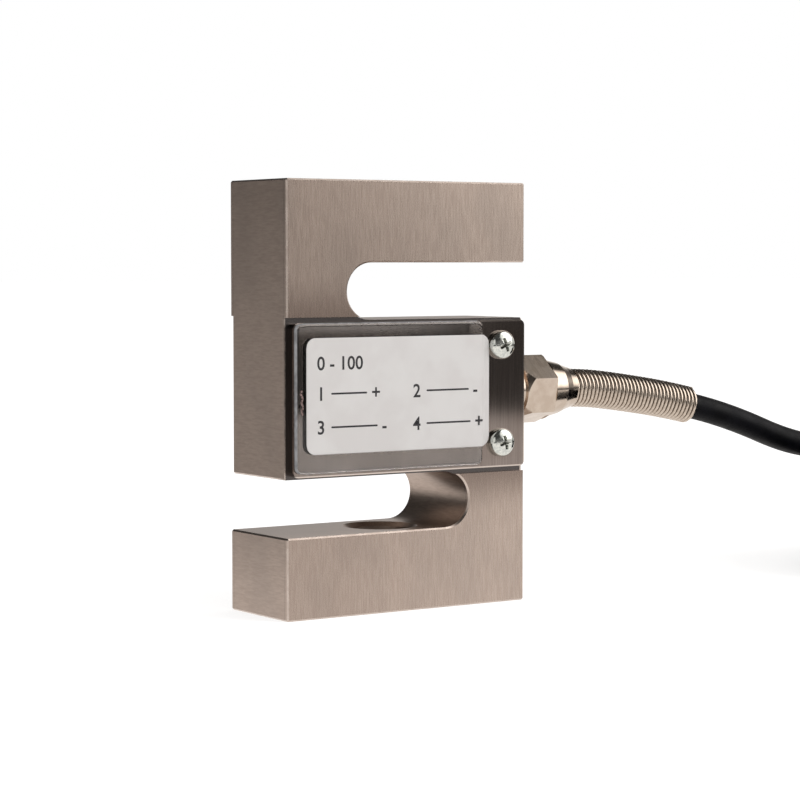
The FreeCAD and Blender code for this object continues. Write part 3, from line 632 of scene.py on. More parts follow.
# %% The plate's shape
def plate_columns():
    """Columns of points on the plate's front and back, each from bottom to top."""
    near = [EDGE_ROUND * step / EDGE_STEPS for step in range(EDGE_STEPS + 1)] + [EDGE_ROUND * 1.3]
    middle_z = (plate_high.z + plate_low.z) / 2
    span = plate_high.x - END_ROUND - plate_low.x - near[-1]
    places = [plate_low.x + inward for inward in near]
    places += [plate_low.x + near[-1] + span * step / PLATE_STEPS for step in range(1, PLATE_STEPS)]
    places += [plate_high.x - END_ROUND * (1 - step / PLATE_STEPS) for step in range(PLATE_STEPS + 1)]
    fronts, backs = [], []
    for x in places:
        reach = half_height(x, plate_low, plate_high, PLATE_CORNER)
        lower = [inward - reach for inward in near]
        heights = [*lower, 0.0, *[-z for z in lower[::-1]]]
        across = max(rounding(x - plate_low.x, EDGE_ROUND), rounding(plate_high.x - x, END_ROUND))
        lost = [1 - (1 - across) * (1 - rounding(reach - abs(z), EDGE_ROUND)) for z in heights]
        fronts.append([(x, plate_low.y + plate_fall * share, middle_z + z)
                       for share, z in zip(lost, heights)])
        backs.append([(x, PLATE_BACK, middle_z + z) for z in heights])
    return fronts, backs


def plate_surface():
    shape = bmesh.new()
    fronts, backs = ([[shape.verts.new(point) for point in column] for column in side]
                     for side in plate_columns())
    last = len(fronts[0]) - 1
    for column in range(len(fronts) - 1):
        for row in range(last):
            for grid, way in ((fronts, 1), (backs, -1)):
                corners = (grid[column][row], grid[column + 1][row],
                           grid[column + 1][row + 1], grid[column][row + 1])
                shape.faces.new(corners[::way])
        for row, way in ((0, 1), (last, -1)):
            corners = (backs[column][row], backs[column + 1][row],
                       fronts[column + 1][row], fronts[column][row])
            shape.faces.new(corners[::way])
    for column, way in ((0, -1), (-1, 1)):
        for row in range(last):
            corners = (fronts[column][row], backs[column][row],
                       backs[column][row + 1], fronts[column][row + 1])
            shape.faces.new(corners[::way])
    return smooth(mesh_of(shape, "clear_window"), 40)


# %% Clear plate
SIDEWAYS = 0.6  # a face's normal has less than this along Y


def clear_acrylic():
    finish = Finish("clear_acrylic", Transmission_Weight=1.0, IOR=1.49)
    finish.set(Base_Color=finish.mottle(tone(234, 235, 235), tone(241, 242, 242), 9.0))
    finish.surface(finish.grain((5, 5, 5)), 0.0, 0.012)
    return finish.material


def sawn_edge():
    finish = Finish("sawn_edge", IOR=1.49)
    finish.set(Base_Color=finish.mottle(tone(136, 136, 138), tone(172, 172, 174), 1.2))
    finish.surface(finish.fine(0.25), 0.35, 0.6, 0.01)
    return finish.material


clear_plate = new_piece("clear_window", plate_surface(), clear_acrylic())
clear_plate.data.materials.append(sawn_edge())
for face in clear_plate.data.polygons:
    face.material_index = int(abs(face.normal.y) < SIDEWAYS)
keep(clear_plate, "clear_plastic", "clear_plate")
print("clear plate:", len(clear_plate.data.vertices), "points")

# %% [markdown]
# ## Glue trace
#
# The clear plate was glued on by hand, and a thin run of glue has dried beside the label, at the
# plate's left. It is a fine cord with a few bends, laid by a NURBS line and made a mesh, in dull
# pinkish resin.

# %% Glue
GLUE_THICK = 0.34 * MM


def dried_glue():
    finish = Finish("dried_glue", IOR=1.5)
    finish.set(Base_Color=finish.mottle(tone(58, 44, 44), tone(176, 146, 140), 0.3))
    finish.surface(finish.fine(0.3), 0.25, 0.45, 0.02)
    return finish.material


def glue_run():
    """A run of glue through a few bends."""
    middle = (plate_low.z + plate_high.z) / 2
    # Millimetres to the right of the plate's edge, and above its middle.
    bends = ((0.95, 1.5), (0.6, 0.9), (1.25, 0.2), (0.75, -0.6), (1.3, -1.3), (0.85, -2.1), (1.1, -2.7))
    level = plate_low.y - 0.02 * MM
    points = [(plate_low.x + across * MM, level, middle + up * MM) for across, up in bends]
    line = new_curve("glue_line", [points], GLUE_THICK)
    line.resolution_u = 6
    return smooth(plain_mesh(put("glue_line", line)))


glue = new_piece("glue_trace", glue_run(), dried_glue())
keep(glue, "clear_plastic")
print("glue trace:", len(glue.data.polygons), "faces")

# %% [markdown]
# ## Label
#
# A white film label lies on the clear plate and laps over its right-hand end down to the cover. The
# film follows the rounded end and then steps down in a soft S, because it cannot turn sharply. Its
# sheet is a row of narrow strips whose height follows the round corners and whose depth follows the
# plate. Rows close to its top and bottom keep the smooth shading flat. The print on the real one is a
# wiring list. Here it is plain numbers, rules and signs, made as flat meshes on the film.

# %% Label film
label_low, label_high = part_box("label")
FILM = plate_low.y - label_low.y
STEP_DOWN = PLATE_LIP + 0.02 * MM
STEP_START = plate_high.x
STEP_LENGTH = 0.7 * MM
LABEL_CORNER = 1.8 * MM
LABEL_ROWS = (-1, -0.98, -0.5, 0, 0.5, 0.98, 1)  # shares of the half height
LABEL_COLUMNS = 240
label_middle = (label_low.z + label_high.z) / 2


def label_depth(x):
    """How far out the film's face lies at x."""
    share = min(max((x - STEP_START) / STEP_LENGTH, 0.0), 1.0)
    return label_low.y + end_fall(x) + STEP_DOWN * share * share * (3 - 2 * share)


def label_sheet():
    shape = bmesh.new()
    columns = []
    for step in range(LABEL_COLUMNS + 1):
        x = label_low.x + (label_high.x - label_low.x) * step / LABEL_COLUMNS
        reach = half_height(x, label_low, label_high, LABEL_CORNER)
        columns.append([shape.verts.new((x, label_depth(x), label_middle + reach * share))
                        for share in LABEL_ROWS])
    for left, right in zip(columns, columns[1:]):
        for row in range(len(LABEL_ROWS) - 1):
            shape.faces.new((left[row], right[row], right[row + 1], left[row + 1]))
    return smooth(mesh_of(shape, "label_sheet", closed=False))


def label_film():
    finish = Finish("label_film", IOR=1.45)
    finish.set(Base_Color=finish.mottle(tone(234, 230, 228), tone(240, 237, 235), 7.0))
    finish.surface(finish.fine(0.25), 0.5, 0.62, 0.004)
    return finish.material


film = new_piece("label_sheet", label_sheet(), label_film())
thicken = film.modifiers.new("film", "SOLIDIFY")
thicken.thickness = FILM * 0.8
thicken.offset = -1
keep(film, "label_film", "label")
print("label film:", round(FILM / MM, 3), "mm thick, steps down", round(STEP_DOWN / MM, 2), "mm")

# %% Print on the label
PRINT_HEIGHT = 3.3 * MM
PRINT_ROWS = (14.6 * MM, 9.35 * MM, 3.55 * MM)  # up from the label's bottom
LEFT_COLUMN, RIGHT_COLUMN = 2.1 * MM, 22.1 * MM
RULE_THICK, RULE_UP, RULE_START = 0.32 * MM, 0.95 * MM, 2.9 * MM
SIGN_GAP = 0.9 * MM
INK_LIFT = 0.006 * MM
RULE_FRONT, RULE_BACK = 0.009 * MM, 0.002 * MM


def lettering(words, along, up):
    """Flat characters on the film: made a mesh first, then turned and put in their place."""
    text = bpy.data.curves.new("print", "FONT")
    text.body = words
    text.size = PRINT_HEIGHT
    text.resolution_u = 4
    text.offset = 0.05 * MM
    mesh = plain_mesh(put("print", text))
    place = Vector((label_low.x + along, label_low.y - INK_LIFT, label_low.z + up))
    mesh.transform(Matrix.Translation(place) @ Matrix.Rotation(math.pi / 2, 4, "X"))
    return mesh


def slab(outline, front, back):
    """A flat plate with some outline in X and Z, between two levels of Y."""
    shape = bmesh.new()
    face = shape.faces.new([shape.verts.new((x, back, z)) for x, z in outline])
    pushed = bmesh.ops.extrude_face_region(shape, geom=[face])
    moved = [item for item in pushed["geom"] if isinstance(item, bmesh.types.BMVert)]
    bmesh.ops.translate(shape, verts=moved, vec=(0, front - back, 0))
    return mesh_of(shape, "slab")


def rule(along, up, length):
    """A printed line."""
    low = Vector((label_low.x + along, 0, label_low.z + up))
    high = low + Vector((length, 0, RULE_THICK))
    outline = round_outline(low, high, RULE_THICK * 0.45, 3)
    return slab(outline, label_low.y - RULE_FRONT, label_low.y - RULE_BACK)


def joined(meshes, name):
    """Several meshes as one."""
    shape = bmesh.new()
    for mesh in meshes:
        shape.from_mesh(mesh)
        bpy.data.meshes.remove(mesh)
    return mesh_of(shape, name, closed=False)


def label_print():
    top, middle, bottom = PRINT_ROWS
    items = [lettering("0 - 100", LEFT_COLUMN, top)]
    wires = (("1", "+", LEFT_COLUMN, middle, 7.4 * MM), ("2", "-", RIGHT_COLUMN, middle, 9.2 * MM),
             ("3", "-", LEFT_COLUMN, bottom, 9.6 * MM), ("4", "+", RIGHT_COLUMN, bottom, 9.6 * MM))
    for number, sign, along, up, length in wires:
        items.append(lettering(number, along, up))
        items.append(rule(along + RULE_START, up + RULE_UP, length))
        items.append(lettering(sign, along + RULE_START + length + SIGN_GAP, up))
    return joined(items, "label_print")


def label_ink():
    finish = Finish("label_ink")
    finish.set(Base_Color=finish.mottle(tone(34, 33, 36), tone(50, 48, 52), 0.6))
    finish.surface(finish.grain((0.3, 0.3, 0.3)), 0.5, 0.7)
    return finish.material


ink = new_piece("label_print", label_print(), label_ink())
keep(ink, "label_film")
print("label print:", len(ink.data.polygons), "faces")

# %% [markdown]
# ## Cover screws
#
# Two small pan head screws hold each cover. One head is modelled well: a spun dome with a cross
# recess cut by a tapered cross. The points deep in the recess get an attribute, and the finish
# paints them darker as shade. Geometry Nodes then put a copy at each of the four holes, turned a little
# differently, since no fitter stops two screws at the same angle.

# %% Geometry Nodes helper
class Recipe(Wiring):
    """A Geometry Nodes tree with named inputs, which ends in plain geometry with one finish."""

    def __init__(self, name):
        super().__init__(bpy.data.node_groups.new(name, "GeometryNodeTree"))
        self.tree.interface.new_socket("Geometry", in_out="INPUT", socket_type="NodeSocketGeometry")
        self.tree.interface.new_socket("Geometry", in_out="OUTPUT", socket_type="NodeSocketGeometry")
        self.entry = self.tree.nodes.new("NodeGroupInput")

    def ask(self, name, kind="Float"):
        """A new named input."""
        self.tree.interface.new_socket(name, in_out="INPUT", socket_type="NodeSocket" + kind)
        return self.entry.outputs[name]

    def close(self, geometry):
        """End the tree with real geometry and the asked finish."""
        real = self.add("GeometryNodeRealizeInstances", {0: geometry})
        finish = self.ask("Finish", "Material")
        dressed = self.add("GeometryNodeSetMaterial", {0: real, "Material": finish})
        self.add("NodeGroupOutput", {0: dressed})

    def grow(self, name, data, values):
        """Run the tree on some data, and keep the result as a plain mesh piece."""
        seedling = put(name + "_seedling", data)
        modifier = seedling.modifiers.new("recipe", "NODES")
        modifier.node_group = self.tree
        for item in self.tree.interface.items_tree:
            if item.name in values:
                modifier[item.identifier] = values[item.name]
        mesh = plain_mesh(seedling)
        mesh.name = name
        print(name, "has", len(mesh.polygons), "faces")
        return put(name, mesh)


# %% A turned shape
screw_low, screw_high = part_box("front_screw_upper")
HEAD_RADIUS = (screw_high.x - screw_low.x) / 2
HEAD_RISE = cover_low.y - screw_low.y
SHANK_RADIUS = 1.45 * MM
SHANK_LENGTH = screw_high.y - cover_low.y
THREAD_PITCH = 0.5 * MM
HEAD_RIM = 0.55 * MM
DOME_STEPS = 12
DOME_POWER = 0.75  # below 1 the dome is fuller than a part of a ball


def screw_profile():
    """Radius and height above the cover, from the tip of the shank to the top of the dome."""
    points = [(0.0, -SHANK_LENGTH), (SHANK_RADIUS * 0.7, -SHANK_LENGTH)]
    level = -SHANK_LENGTH + THREAD_PITCH / 2
    while level < -THREAD_PITCH:
        points += [(SHANK_RADIUS, level), (SHANK_RADIUS * 0.8, level + THREAD_PITCH / 2)]
        level += THREAD_PITCH
    points += [(SHANK_RADIUS, 0.0), (HEAD_RADIUS * 0.96, 0.0), (HEAD_RADIUS, 0.05 * MM)]
    for step in range(DOME_STEPS + 1):
        angle = step / DOME_STEPS * math.pi / 2
        points.append((HEAD_RADIUS * math.cos(angle) ** DOME_POWER,
                       HEAD_RIM + (HEAD_RISE - HEAD_RIM) * math.sin(angle)))
    return points


def spun(profile, steps):
    """A turned shape: radius and height pairs spun about the Z axis."""
    shape = bmesh.new()
    points = [shape.verts.new((radius, 0, height)) for radius, height in profile]
    lines = [shape.edges.new(pair) for pair in zip(points, points[1:])]
    bmesh.ops.spin(shape, geom=points + lines, axis=(0, 0, 1), cent=(0, 0, 0),
                   angle=2 * math.pi, steps=steps, use_duplicate=False)
    bmesh.ops.remove_doubles(shape, verts=shape.verts, dist=0.001 * MM)
    return mesh_of(shape, "spun")


print("screw head:", round(2 * HEAD_RADIUS / MM, 2), "mm across")

# %% A tapered cross
RECESS_REACH, RECESS_HALF, RECESS_DEEP = 1.45 * MM, 0.33 * MM, 1.1 * MM
RECESS_TOP, RECESS_BOTTOM = 1.1, 0.45  # shares of the reach


def band(shape, first, second):
    """Faces between two closed outlines with the same number of points."""
    for place in range(len(first)):
        following = (place + 1) % len(first)
        shape.faces.new((first[place], first[following], second[following], second[place]))


def cross_cutter():
    """A cross that narrows downwards, with its wide end just above the head."""
    shape = bmesh.new()
    rings = []
    for level, share in ((HEAD_RISE + 0.3 * MM, RECESS_TOP), (HEAD_RISE - RECESS_DEEP, RECESS_BOTTOM)):
        half, reach = RECESS_HALF * (0.4 + 0.6 * share), RECESS_REACH * share
        ring = []
        for quarter in range(4):
            turn = Matrix.Rotation(quarter * math.pi / 2, 4, "Z")
            ring += [turn @ Vector(corner) for corner in
                     ((reach, -half, level), (reach, half, level), (half, half, level))]
        rings.append([shape.verts.new(corner) for corner in ring])
    band(shape, *rings)
    for ring in rings:
        shape.faces.new(ring)
    return mesh_of(shape, "cross")


# %% One screw
# How deep and how far out the recess's painted shade reaches.
RECESS_SHADE_DEPTH = 0.3 * MM
RECESS_SHADE_REACH = 0.7  # share of the head's radius


def round_edges(piece, width, angle):
    """Round the edges that are sharper than an angle in degrees."""
    bevel = piece.modifiers.new("edges", "BEVEL")
    bevel.width = width
    bevel.segments = 2
    bevel.limit_method = "ANGLE"
    bevel.angle_limit = math.radians(angle)


def mark_recess_shade(mesh):
    """Write 1 on the points that lie well below the dome, which are those in the recess."""
    recess_shade = mesh.attributes.new("recess_shade", "FLOAT", "POINT")
    for value, vertex in zip(recess_shade.data, mesh.vertices):
        reach = math.hypot(vertex.co.x, vertex.co.y) / HEAD_RADIUS
        swell = math.sqrt(max(1 - min(reach, 1) ** (2 / DOME_POWER), 0))
        dome = HEAD_RIM + (HEAD_RISE - HEAD_RIM) * swell
        value.value = float(reach < RECESS_SHADE_REACH and 0 < vertex.co.z < dome - RECESS_SHADE_DEPTH)


def one_screw():
    """The finished screw as a mesh, its axis along Z and its head's seat at zero."""
    blank = put("screw_blank", spun(screw_profile(), 40))
    cutter = put("cross_cutter", cross_cutter())
    cut = blank.modifiers.new("recess", "BOOLEAN")
    cut.object = cutter
    cut.operation = "DIFFERENCE"
    round_edges(blank, 0.05 * MM, 38)
    mesh = plain_mesh(blank)
    bpy.data.objects.remove(cutter)
    mark_recess_shade(mesh)
    return smooth(mesh, 40)


screw_mesh = one_screw()
print("one screw:", len(screw_mesh.polygons), "faces")

# %% Four screws
HEAD_TURNS = (22, 14, 40, 71)  # degrees
SCREW_NODES = ("front_screw_upper", "front_screw_lower", "rear_screw_upper", "rear_screw_lower")


def bright_zinc():
    finish = Finish("bright_zinc", Metallic=1.0)
    blot = finish.fine(0.5)
    recess_shade = finish.add("ShaderNodeAttribute", output="Fac", attribute_name="recess_shade")
    zinc = finish.blend(finish.spread(blot), tone(196, 200, 196), tone(224, 226, 220))
    # Painted shade: the points deep in the cross recess are painted darker.
    finish.set(Base_Color=finish.blend(recess_shade, zinc, tone(128, 128, 122)))
    finish.surface(blot, 0.08, 0.2, 0.006)
    return finish.material


def screw_holes():
    """One point at each hole, with the angle at which its screw stopped."""
    mesh = bpy.data.meshes.new("screw_holes")
    places = []
    for node in SCREW_NODES:
        low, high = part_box(node)
        seat = cover_low.y if high.y < 0 else -cover_low.y
        places.append(((low.x + high.x) / 2, seat, (low.z + high.z) / 2))
    mesh.from_pydata(places, [], [])
    head_turn = mesh.attributes.new("head_turn", "FLOAT", "POINT")
    for value, angle in zip(head_turn.data, HEAD_TURNS):
        value.value = math.radians(angle)
    return mesh


def screw_recipe():
    recipe = Recipe("place_screws")
    screw = recipe.add("GeometryNodeObjectInfo", {"Object": recipe.ask("Screw", "Object")},
                       output="Geometry")
    turn = recipe.add("GeometryNodeInputNamedAttribute", {"Name": "head_turn"})
    hole = recipe.add("GeometryNodeInputPosition")
    depth = recipe.add("ShaderNodeSeparateXYZ", {0: hole}, output="Y")
    outward = recipe.math("MULTIPLY", recipe.math("SIGN", depth), -math.pi / 2)
    facing = recipe.add("ShaderNodeCombineXYZ", {"X": outward})
    spin = recipe.add("ShaderNodeCombineXYZ", {"Z": turn})
    turned = recipe.add("GeometryNodeTransform", {0: screw})
    placed = recipe.add("GeometryNodeInstanceOnPoints",
                        {"Points": recipe.entry.outputs["Geometry"], "Instance": turned,
                         "Rotation": facing})
    own_turn = recipe.add("GeometryNodeRotateInstances", {0: placed, "Rotation": spin})
    recipe.close(own_turn)
    return recipe


sample = put("screw_sample", screw_mesh)
cover_screws = screw_recipe().grow("cover_screws", screw_holes(),
                                   {"Screw": sample, "Finish": bright_zinc()})
bpy.data.objects.remove(sample)
keep(cover_screws, "zinc", *SCREW_NODES)

# %% [markdown]
# ## Load threads
#
# The load is hung from an M12 thread in each arm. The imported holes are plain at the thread's full
# diameter, so one ridge of trapezoid section winds up inside each hole. A recipe sweeps the section
# along a spiral and lets it fade at both ends, as a tap leaves it.

# %% Threads in both arms
THREAD_RADIUS = 6.0 * MM
LOAD_PITCH = 1.75 * MM
RIDGE = 0.95 * MM
RIDGE_FOOT, RIDGE_TOP = 0.84, 0.2  # shares of the pitch
RIDGE_SUNK = 0.45  # share of the ridge between its middle and the wall
ARM_THICK = 14.4 * MM
MOUTH = 0.8 * MM


def thread_recipe():
    recipe = Recipe("wind_a_thread")
    radius, pitch = recipe.ask("Radius"), recipe.ask("Pitch")
    height, ridge = recipe.ask("Height"), recipe.ask("Ridge")
    middle = recipe.math("SUBTRACT", radius, recipe.math("MULTIPLY", ridge, RIDGE_SUNK))
    spiral = recipe.add("GeometryNodeCurveSpiral",
                        {"Resolution": 48, "Rotations": recipe.math("DIVIDE", height, pitch),
                         "Start Radius": middle, "End Radius": middle, "Height": height})
    upright = recipe.add("GeometryNodeSetCurveNormal", {0: spiral}, mode="Z_UP")
    way = recipe.add("GeometryNodeSplineParameter", output="Factor")
    nearest_end = recipe.math("MINIMUM", way, recipe.math("SUBTRACT", 1.0, way))
    fade = recipe.ease(nearest_end, 0.0, 0.05, 0.25, 1.0)
    faded = recipe.add("GeometryNodeSetCurveRadius", {0: upright, "Radius": fade})
    section = recipe.add("GeometryNodeCurvePrimitiveQuadrilateral",
                         {"Height": ridge, "Bottom Width": recipe.math("MULTIPLY", pitch, RIDGE_FOOT),
                          "Top Width": recipe.math("MULTIPLY", pitch, RIDGE_TOP), "Offset": 0.0},
                         mode="TRAPEZOID")
    recipe.close(recipe.add("GeometryNodeCurveToMesh", {0: faded, 1: section, "Fill Caps": True}))
    return recipe


def thread_steel():
    finish = Finish("thread_steel", Metallic=1.0)
    tear = finish.grain((0.6, 0.6, 0.12), detail=3)
    colour = finish.blend(finish.spread(tear), tone(150, 140, 134), tone(188, 178, 170))
    finish.set(Base_Color=colour)
    finish.surface(tear, 0.2, 0.34, 0.006)
    return finish.material


thread_height = ARM_THICK - 2 * MOUTH - LOAD_PITCH
tapping = thread_recipe()
thread_finish = thread_steel()
for arm_name, arm_low in (("lower", 0.0), ("upper", beam_high.z - ARM_THICK)):
    thread = tapping.grow(arm_name + "_load_thread", bpy.data.meshes.new("blank"),
                          {"Radius": THREAD_RADIUS, "Pitch": LOAD_PITCH, "Height": thread_height,
                           "Ridge": RIDGE, "Finish": thread_finish})
    thread.data.transform(Matrix.Translation((0, 0, arm_low + (ARM_THICK - thread_height) / 2)))
    smooth(thread.data, 30)
    keep(thread, "body_steel")

# %% [markdown]
# ## Gland
#
# The gland is turned brass with a nickel plate: a collar in the body, a hexagon, and a nose that
# grips the spring. Nickel is a little warmer than chrome and keeps the fine rings of the lathe, which
# here are noise squeezed along the axis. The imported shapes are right, so they only get the finish.

# %% Nickel plate and rubber bush
def nickel_plate():
    finish = Finish("nickel_plate", Metallic=1.0)
    rings = finish.grain((0.12, 4.0, 4.0), detail=3)
    tone_shift = finish.grain((2.5, 2.5, 2.5), detail=2)
    colour = finish.blend(finish.ease(tone_shift, 0.35, 0.65), tone(192, 177, 162), tone(203, 189, 175))
    finish.set(Base_Color=colour)
    finish.surface(rings, 0.1, 0.17, 0.0012)
    return finish.material


def bush_rubber():
    finish = Finish("bush_rubber")
    finish.set(Base_Color=finish.mottle(tone(38, 38, 40), tone(54, 53, 54), 1.5))
    finish.surface(finish.fine(0.2), 0.6, 0.8, 0.01)
    return finish.material


dress(nickel_plate(), "gland_body", "gland_nut")
dress(bush_rubber(), "gland_bush")
nut_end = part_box("gland_nut")[1].x
print("gland nut ends at x =", round(nut_end / MM, 1), "mm")

# %% [markdown]
# ## Wire spring
#
# A close-wound spring keeps the cable from being bent sharply where it leaves the gland. Its turns
# follow the cable, so the recipe takes the cable's own line, walks along it in small even steps and
# moves each step out to an angle that grows with the length gone: one turn for each wire's width.
# The turns at the nose are drawn in tight. Shade falls where turns meet, so an attribute on the points
# says how near the seam they lie, and the finish paints shade there.

# %% Spring on the cable's line
spring_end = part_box("relief_spring")[1].x
WIRE = 0.9 * MM
WIRE_PITCH = 0.92 * MM
COIL_RADIUS = 3.2 * MM
TIGHT_RADIUS = 2.82 * MM
TIGHT_SHARE = 0.6  # the wire's thickness in the tight turns
TURN_STEPS = 24
SECTION_SIDES = 10


def length_to(limit):
    """Length of the cable's line from its start to where it first reaches an x."""
    gone = 0.0
    for first, second in zip(cable_line, cable_line[1:]):
        if second.x >= limit:
            return gone + (second - first).length * (limit - first.x) / (second.x - first.x)
        gone += (second - first).length
    return gone


def spring_recipe():
    recipe = Recipe("wind_a_spring")
    pitch, wire = recipe.ask("Pitch"), recipe.ask("Wire")
    start, end = recipe.ask("Start"), recipe.ask("End")
    loose, tight = recipe.ask("Coil Radius"), recipe.ask("Tight Radius")
    tight_end = recipe.ask("Tight End")
    line = recipe.add("GeometryNodeTrimCurve", {0: recipe.entry.outputs["Geometry"]}, mode="LENGTH")
    limits = {"Start": start, "End": end}
    for socket in line.node.inputs:
        if socket.name in limits and socket.enabled:
            recipe.feed(socket, limits[socket.name])
    steps = recipe.add("GeometryNodeResampleCurve",
                       {0: line, "Length": recipe.math("DIVIDE", pitch, TURN_STEPS)}, mode="LENGTH")
    gone = recipe.add("GeometryNodeSplineParameter", output="Length")
    angle = recipe.math("MULTIPLY", recipe.math("DIVIDE", gone, pitch), 2 * math.pi)
    tangent = recipe.add("GeometryNodeInputTangent")
    normal = recipe.add("GeometryNodeInputNormal")
    side = recipe.vector("CROSS_PRODUCT", tangent, normal)
    widening = recipe.math("SUBTRACT", tight_end, recipe.math("MULTIPLY", pitch, 0.6))
    share = recipe.ease(gone, widening, tight_end)
    radius, thin = recipe.pick(share, tight, loose), recipe.pick(share, TIGHT_SHARE, 1.0)
    around = recipe.vector("ADD", recipe.scaled(normal, recipe.math("COSINE", angle)),
                           recipe.scaled(side, recipe.math("SINE", angle)))
    sized = recipe.add("GeometryNodeSetCurveRadius", {0: steps, "Radius": thin})
    wound = recipe.add("GeometryNodeSetPosition", {0: sized, "Offset": recipe.scaled(around, radius)})
    section = recipe.add("GeometryNodeCurvePrimitiveCircle",
                         {"Resolution": SECTION_SIDES, "Radius": recipe.math("DIVIDE", wire, 2)})
    recipe.close(recipe.add("GeometryNodeCurveToMesh", {0: wound, 1: section, "Fill Caps": True}))
    return recipe


def spring_steel():
    finish = Finish("spring_steel", Metallic=1.0)
    scuff = finish.fine(0.5)
    worn = finish.blend(finish.spread(scuff), tone(186, 172, 158), tone(212, 199, 185))
    seam = finish.add("ShaderNodeAttribute", output="Fac", attribute_name="seam")
    # Painted shade: the wire is darkened on its flanks, where turns meet.
    seam_shade = finish.ease(seam, 0.1, 0.9, top=0.8)
    finish.set(Base_Color=finish.blend(seam_shade, worn, tone(74, 66, 60)))
    finish.surface(scuff, 0.16, 0.3, 0.003)
    return finish.material


def mark_seams(mesh):
    """Write how far each point lies from the wire's outer side: 0 on the crest, 1 on the flank."""
    points = [vertex.co.copy() for vertex in mesh.vertices]
    starts = range(0, len(points), SECTION_SIDES)
    centres = [sum(points[start:start + SECTION_SIDES], Vector()) / SECTION_SIDES for start in starts]
    seam = mesh.attributes.new("seam", "FLOAT", "POINT")
    for ring, centre in enumerate(centres):
        first = min(max(ring - TURN_STEPS // 2, 0), len(centres) - TURN_STEPS)
        axis = sum(centres[first:first + TURN_STEPS], Vector()) / TURN_STEPS
        out = (centre - axis).normalized()
        for index in range(SECTION_SIDES * ring, SECTION_SIDES * (ring + 1)):
            height = (points[index] - centre).normalized().dot(out)
            seam.data[index].value = 1.0 - max(height, 0.0)


path_points = [point for point in cable_line if point.x < spring_end + 8 * MM]
path = new_curve("spring_path", [path_points], kind="POLY")
spring = spring_recipe().grow("wire_spring", path, {
    "Pitch": WIRE_PITCH, "Wire": WIRE, "Start": WIRE, "End": length_to(spring_end) - WIRE / 2,
    "Coil Radius": COIL_RADIUS, "Tight Radius": TIGHT_RADIUS,
    "Tight End": length_to(nut_end) - WIRE * 0.7, "Finish": spring_steel()})
mark_seams(spring.data)
smooth(spring.data, 60)
keep(spring, "spring_steel", "relief_spring")

# %% [markdown]
# ## Cable jacket
#
# The jacket is black PVC with a dull gloss. It is never quite even: extrusion leaves a faint orange
# peel and long soft bands, which break the highlight up.

# %% Jacket
def soft_pvc(name, low, high):
    finish = Finish(name, IOR=1.42, Specular_IOR_Level=0.12)
    finish.set(Base_Color=finish.mottle(tone(*low), tone(*high), 5.0))
    finish.surface(finish.fine(3), 0.42, 0.55)
    finish.bumps(finish.fine(0.5), 0.008)
    return finish.material


jacket = soft_pvc("jacket_pvc", (8, 8, 11), (15, 15, 19))
cable.data.materials.append(jacket)
dress(jacket, "inner_cable")
print("jacket on a cable", round(CABLE / MM, 2), "mm across")

# %% [markdown]
# ## Cable ties
#
# Two nylon ties hold the hank. A tie is a toothed strap round the bundle, through a square head that
# locks it. The strap is a closed band between two round-cornered outlines, a strap's thickness apart.
# The head is a small block with the strap's cut end standing out of its slot, and a bevel rounds all.

# %% Ties
STRAP_WIDTH, STRAP_THICK = 4.5 * MM, 1.0 * MM
STRAP_CORNER, CORNER_STEPS = 2.4 * MM, 8
HEAD_TALL = 3.4 * MM
TAIL_START, TAIL_STOP, TAIL_TALL = 0.5 * MM, 1.4 * MM, 1.6 * MM
TOOTH_HALF, TOOTH_TALL, TOOTH_PITCH = 1.6 * MM, 0.35 * MM, 0.8 * MM
TOOTH_SUNK, TOOTH_OUT = 0.05 * MM, 0.12 * MM
FIRST_TOOTH, TEETH = 2.2 * MM, 9


def tie_nylon():
    finish = Finish("tie_nylon", IOR=1.53)
    finish.set(Base_Color=finish.mottle(tone(28, 28, 30), tone(42, 42, 44), 2.0))
    finish.surface(finish.grain((1, 1, 1)), 0.38, 0.5)
    finish.bumps(finish.grain((0.4, 0.4, 0.4)), 0.006)
    return finish.material


def strap_loop(low, high):
    """A band round the bundle: an outer and an inner outline, a strap's thickness apart."""
    shape = bmesh.new()
    outlines = []
    for inset in (0.0, STRAP_THICK):
        corners = Vector((low.y + inset, 0, low.z + inset)), Vector((high.y - inset, 0, high.z - inset))
        outlines.append(round_outline(*corners, STRAP_CORNER - inset, CORNER_STEPS))
    centre = (low.x + high.x) / 2
    (left_out, left_in), (right_out, right_in) = (
        [[shape.verts.new((x, y, z)) for y, z in outline] for outline in outlines]
        for x in (centre - STRAP_WIDTH / 2, centre + STRAP_WIDTH / 2))
    rings = (left_out, right_out, right_in, left_in)
    for first, second in zip(rings, rings[1:] + rings[:1]):
        band(shape, first, second)
    return mesh_of(shape, "strap")


def block(low, high):
    """A block between two corners, to be bevelled with the rest of its piece."""
    outline = [(low[0], low[2]), (high[0], low[2]), (high[0], high[2]), (low[0], high[2])]
    return slab(outline, low[1], high[1])


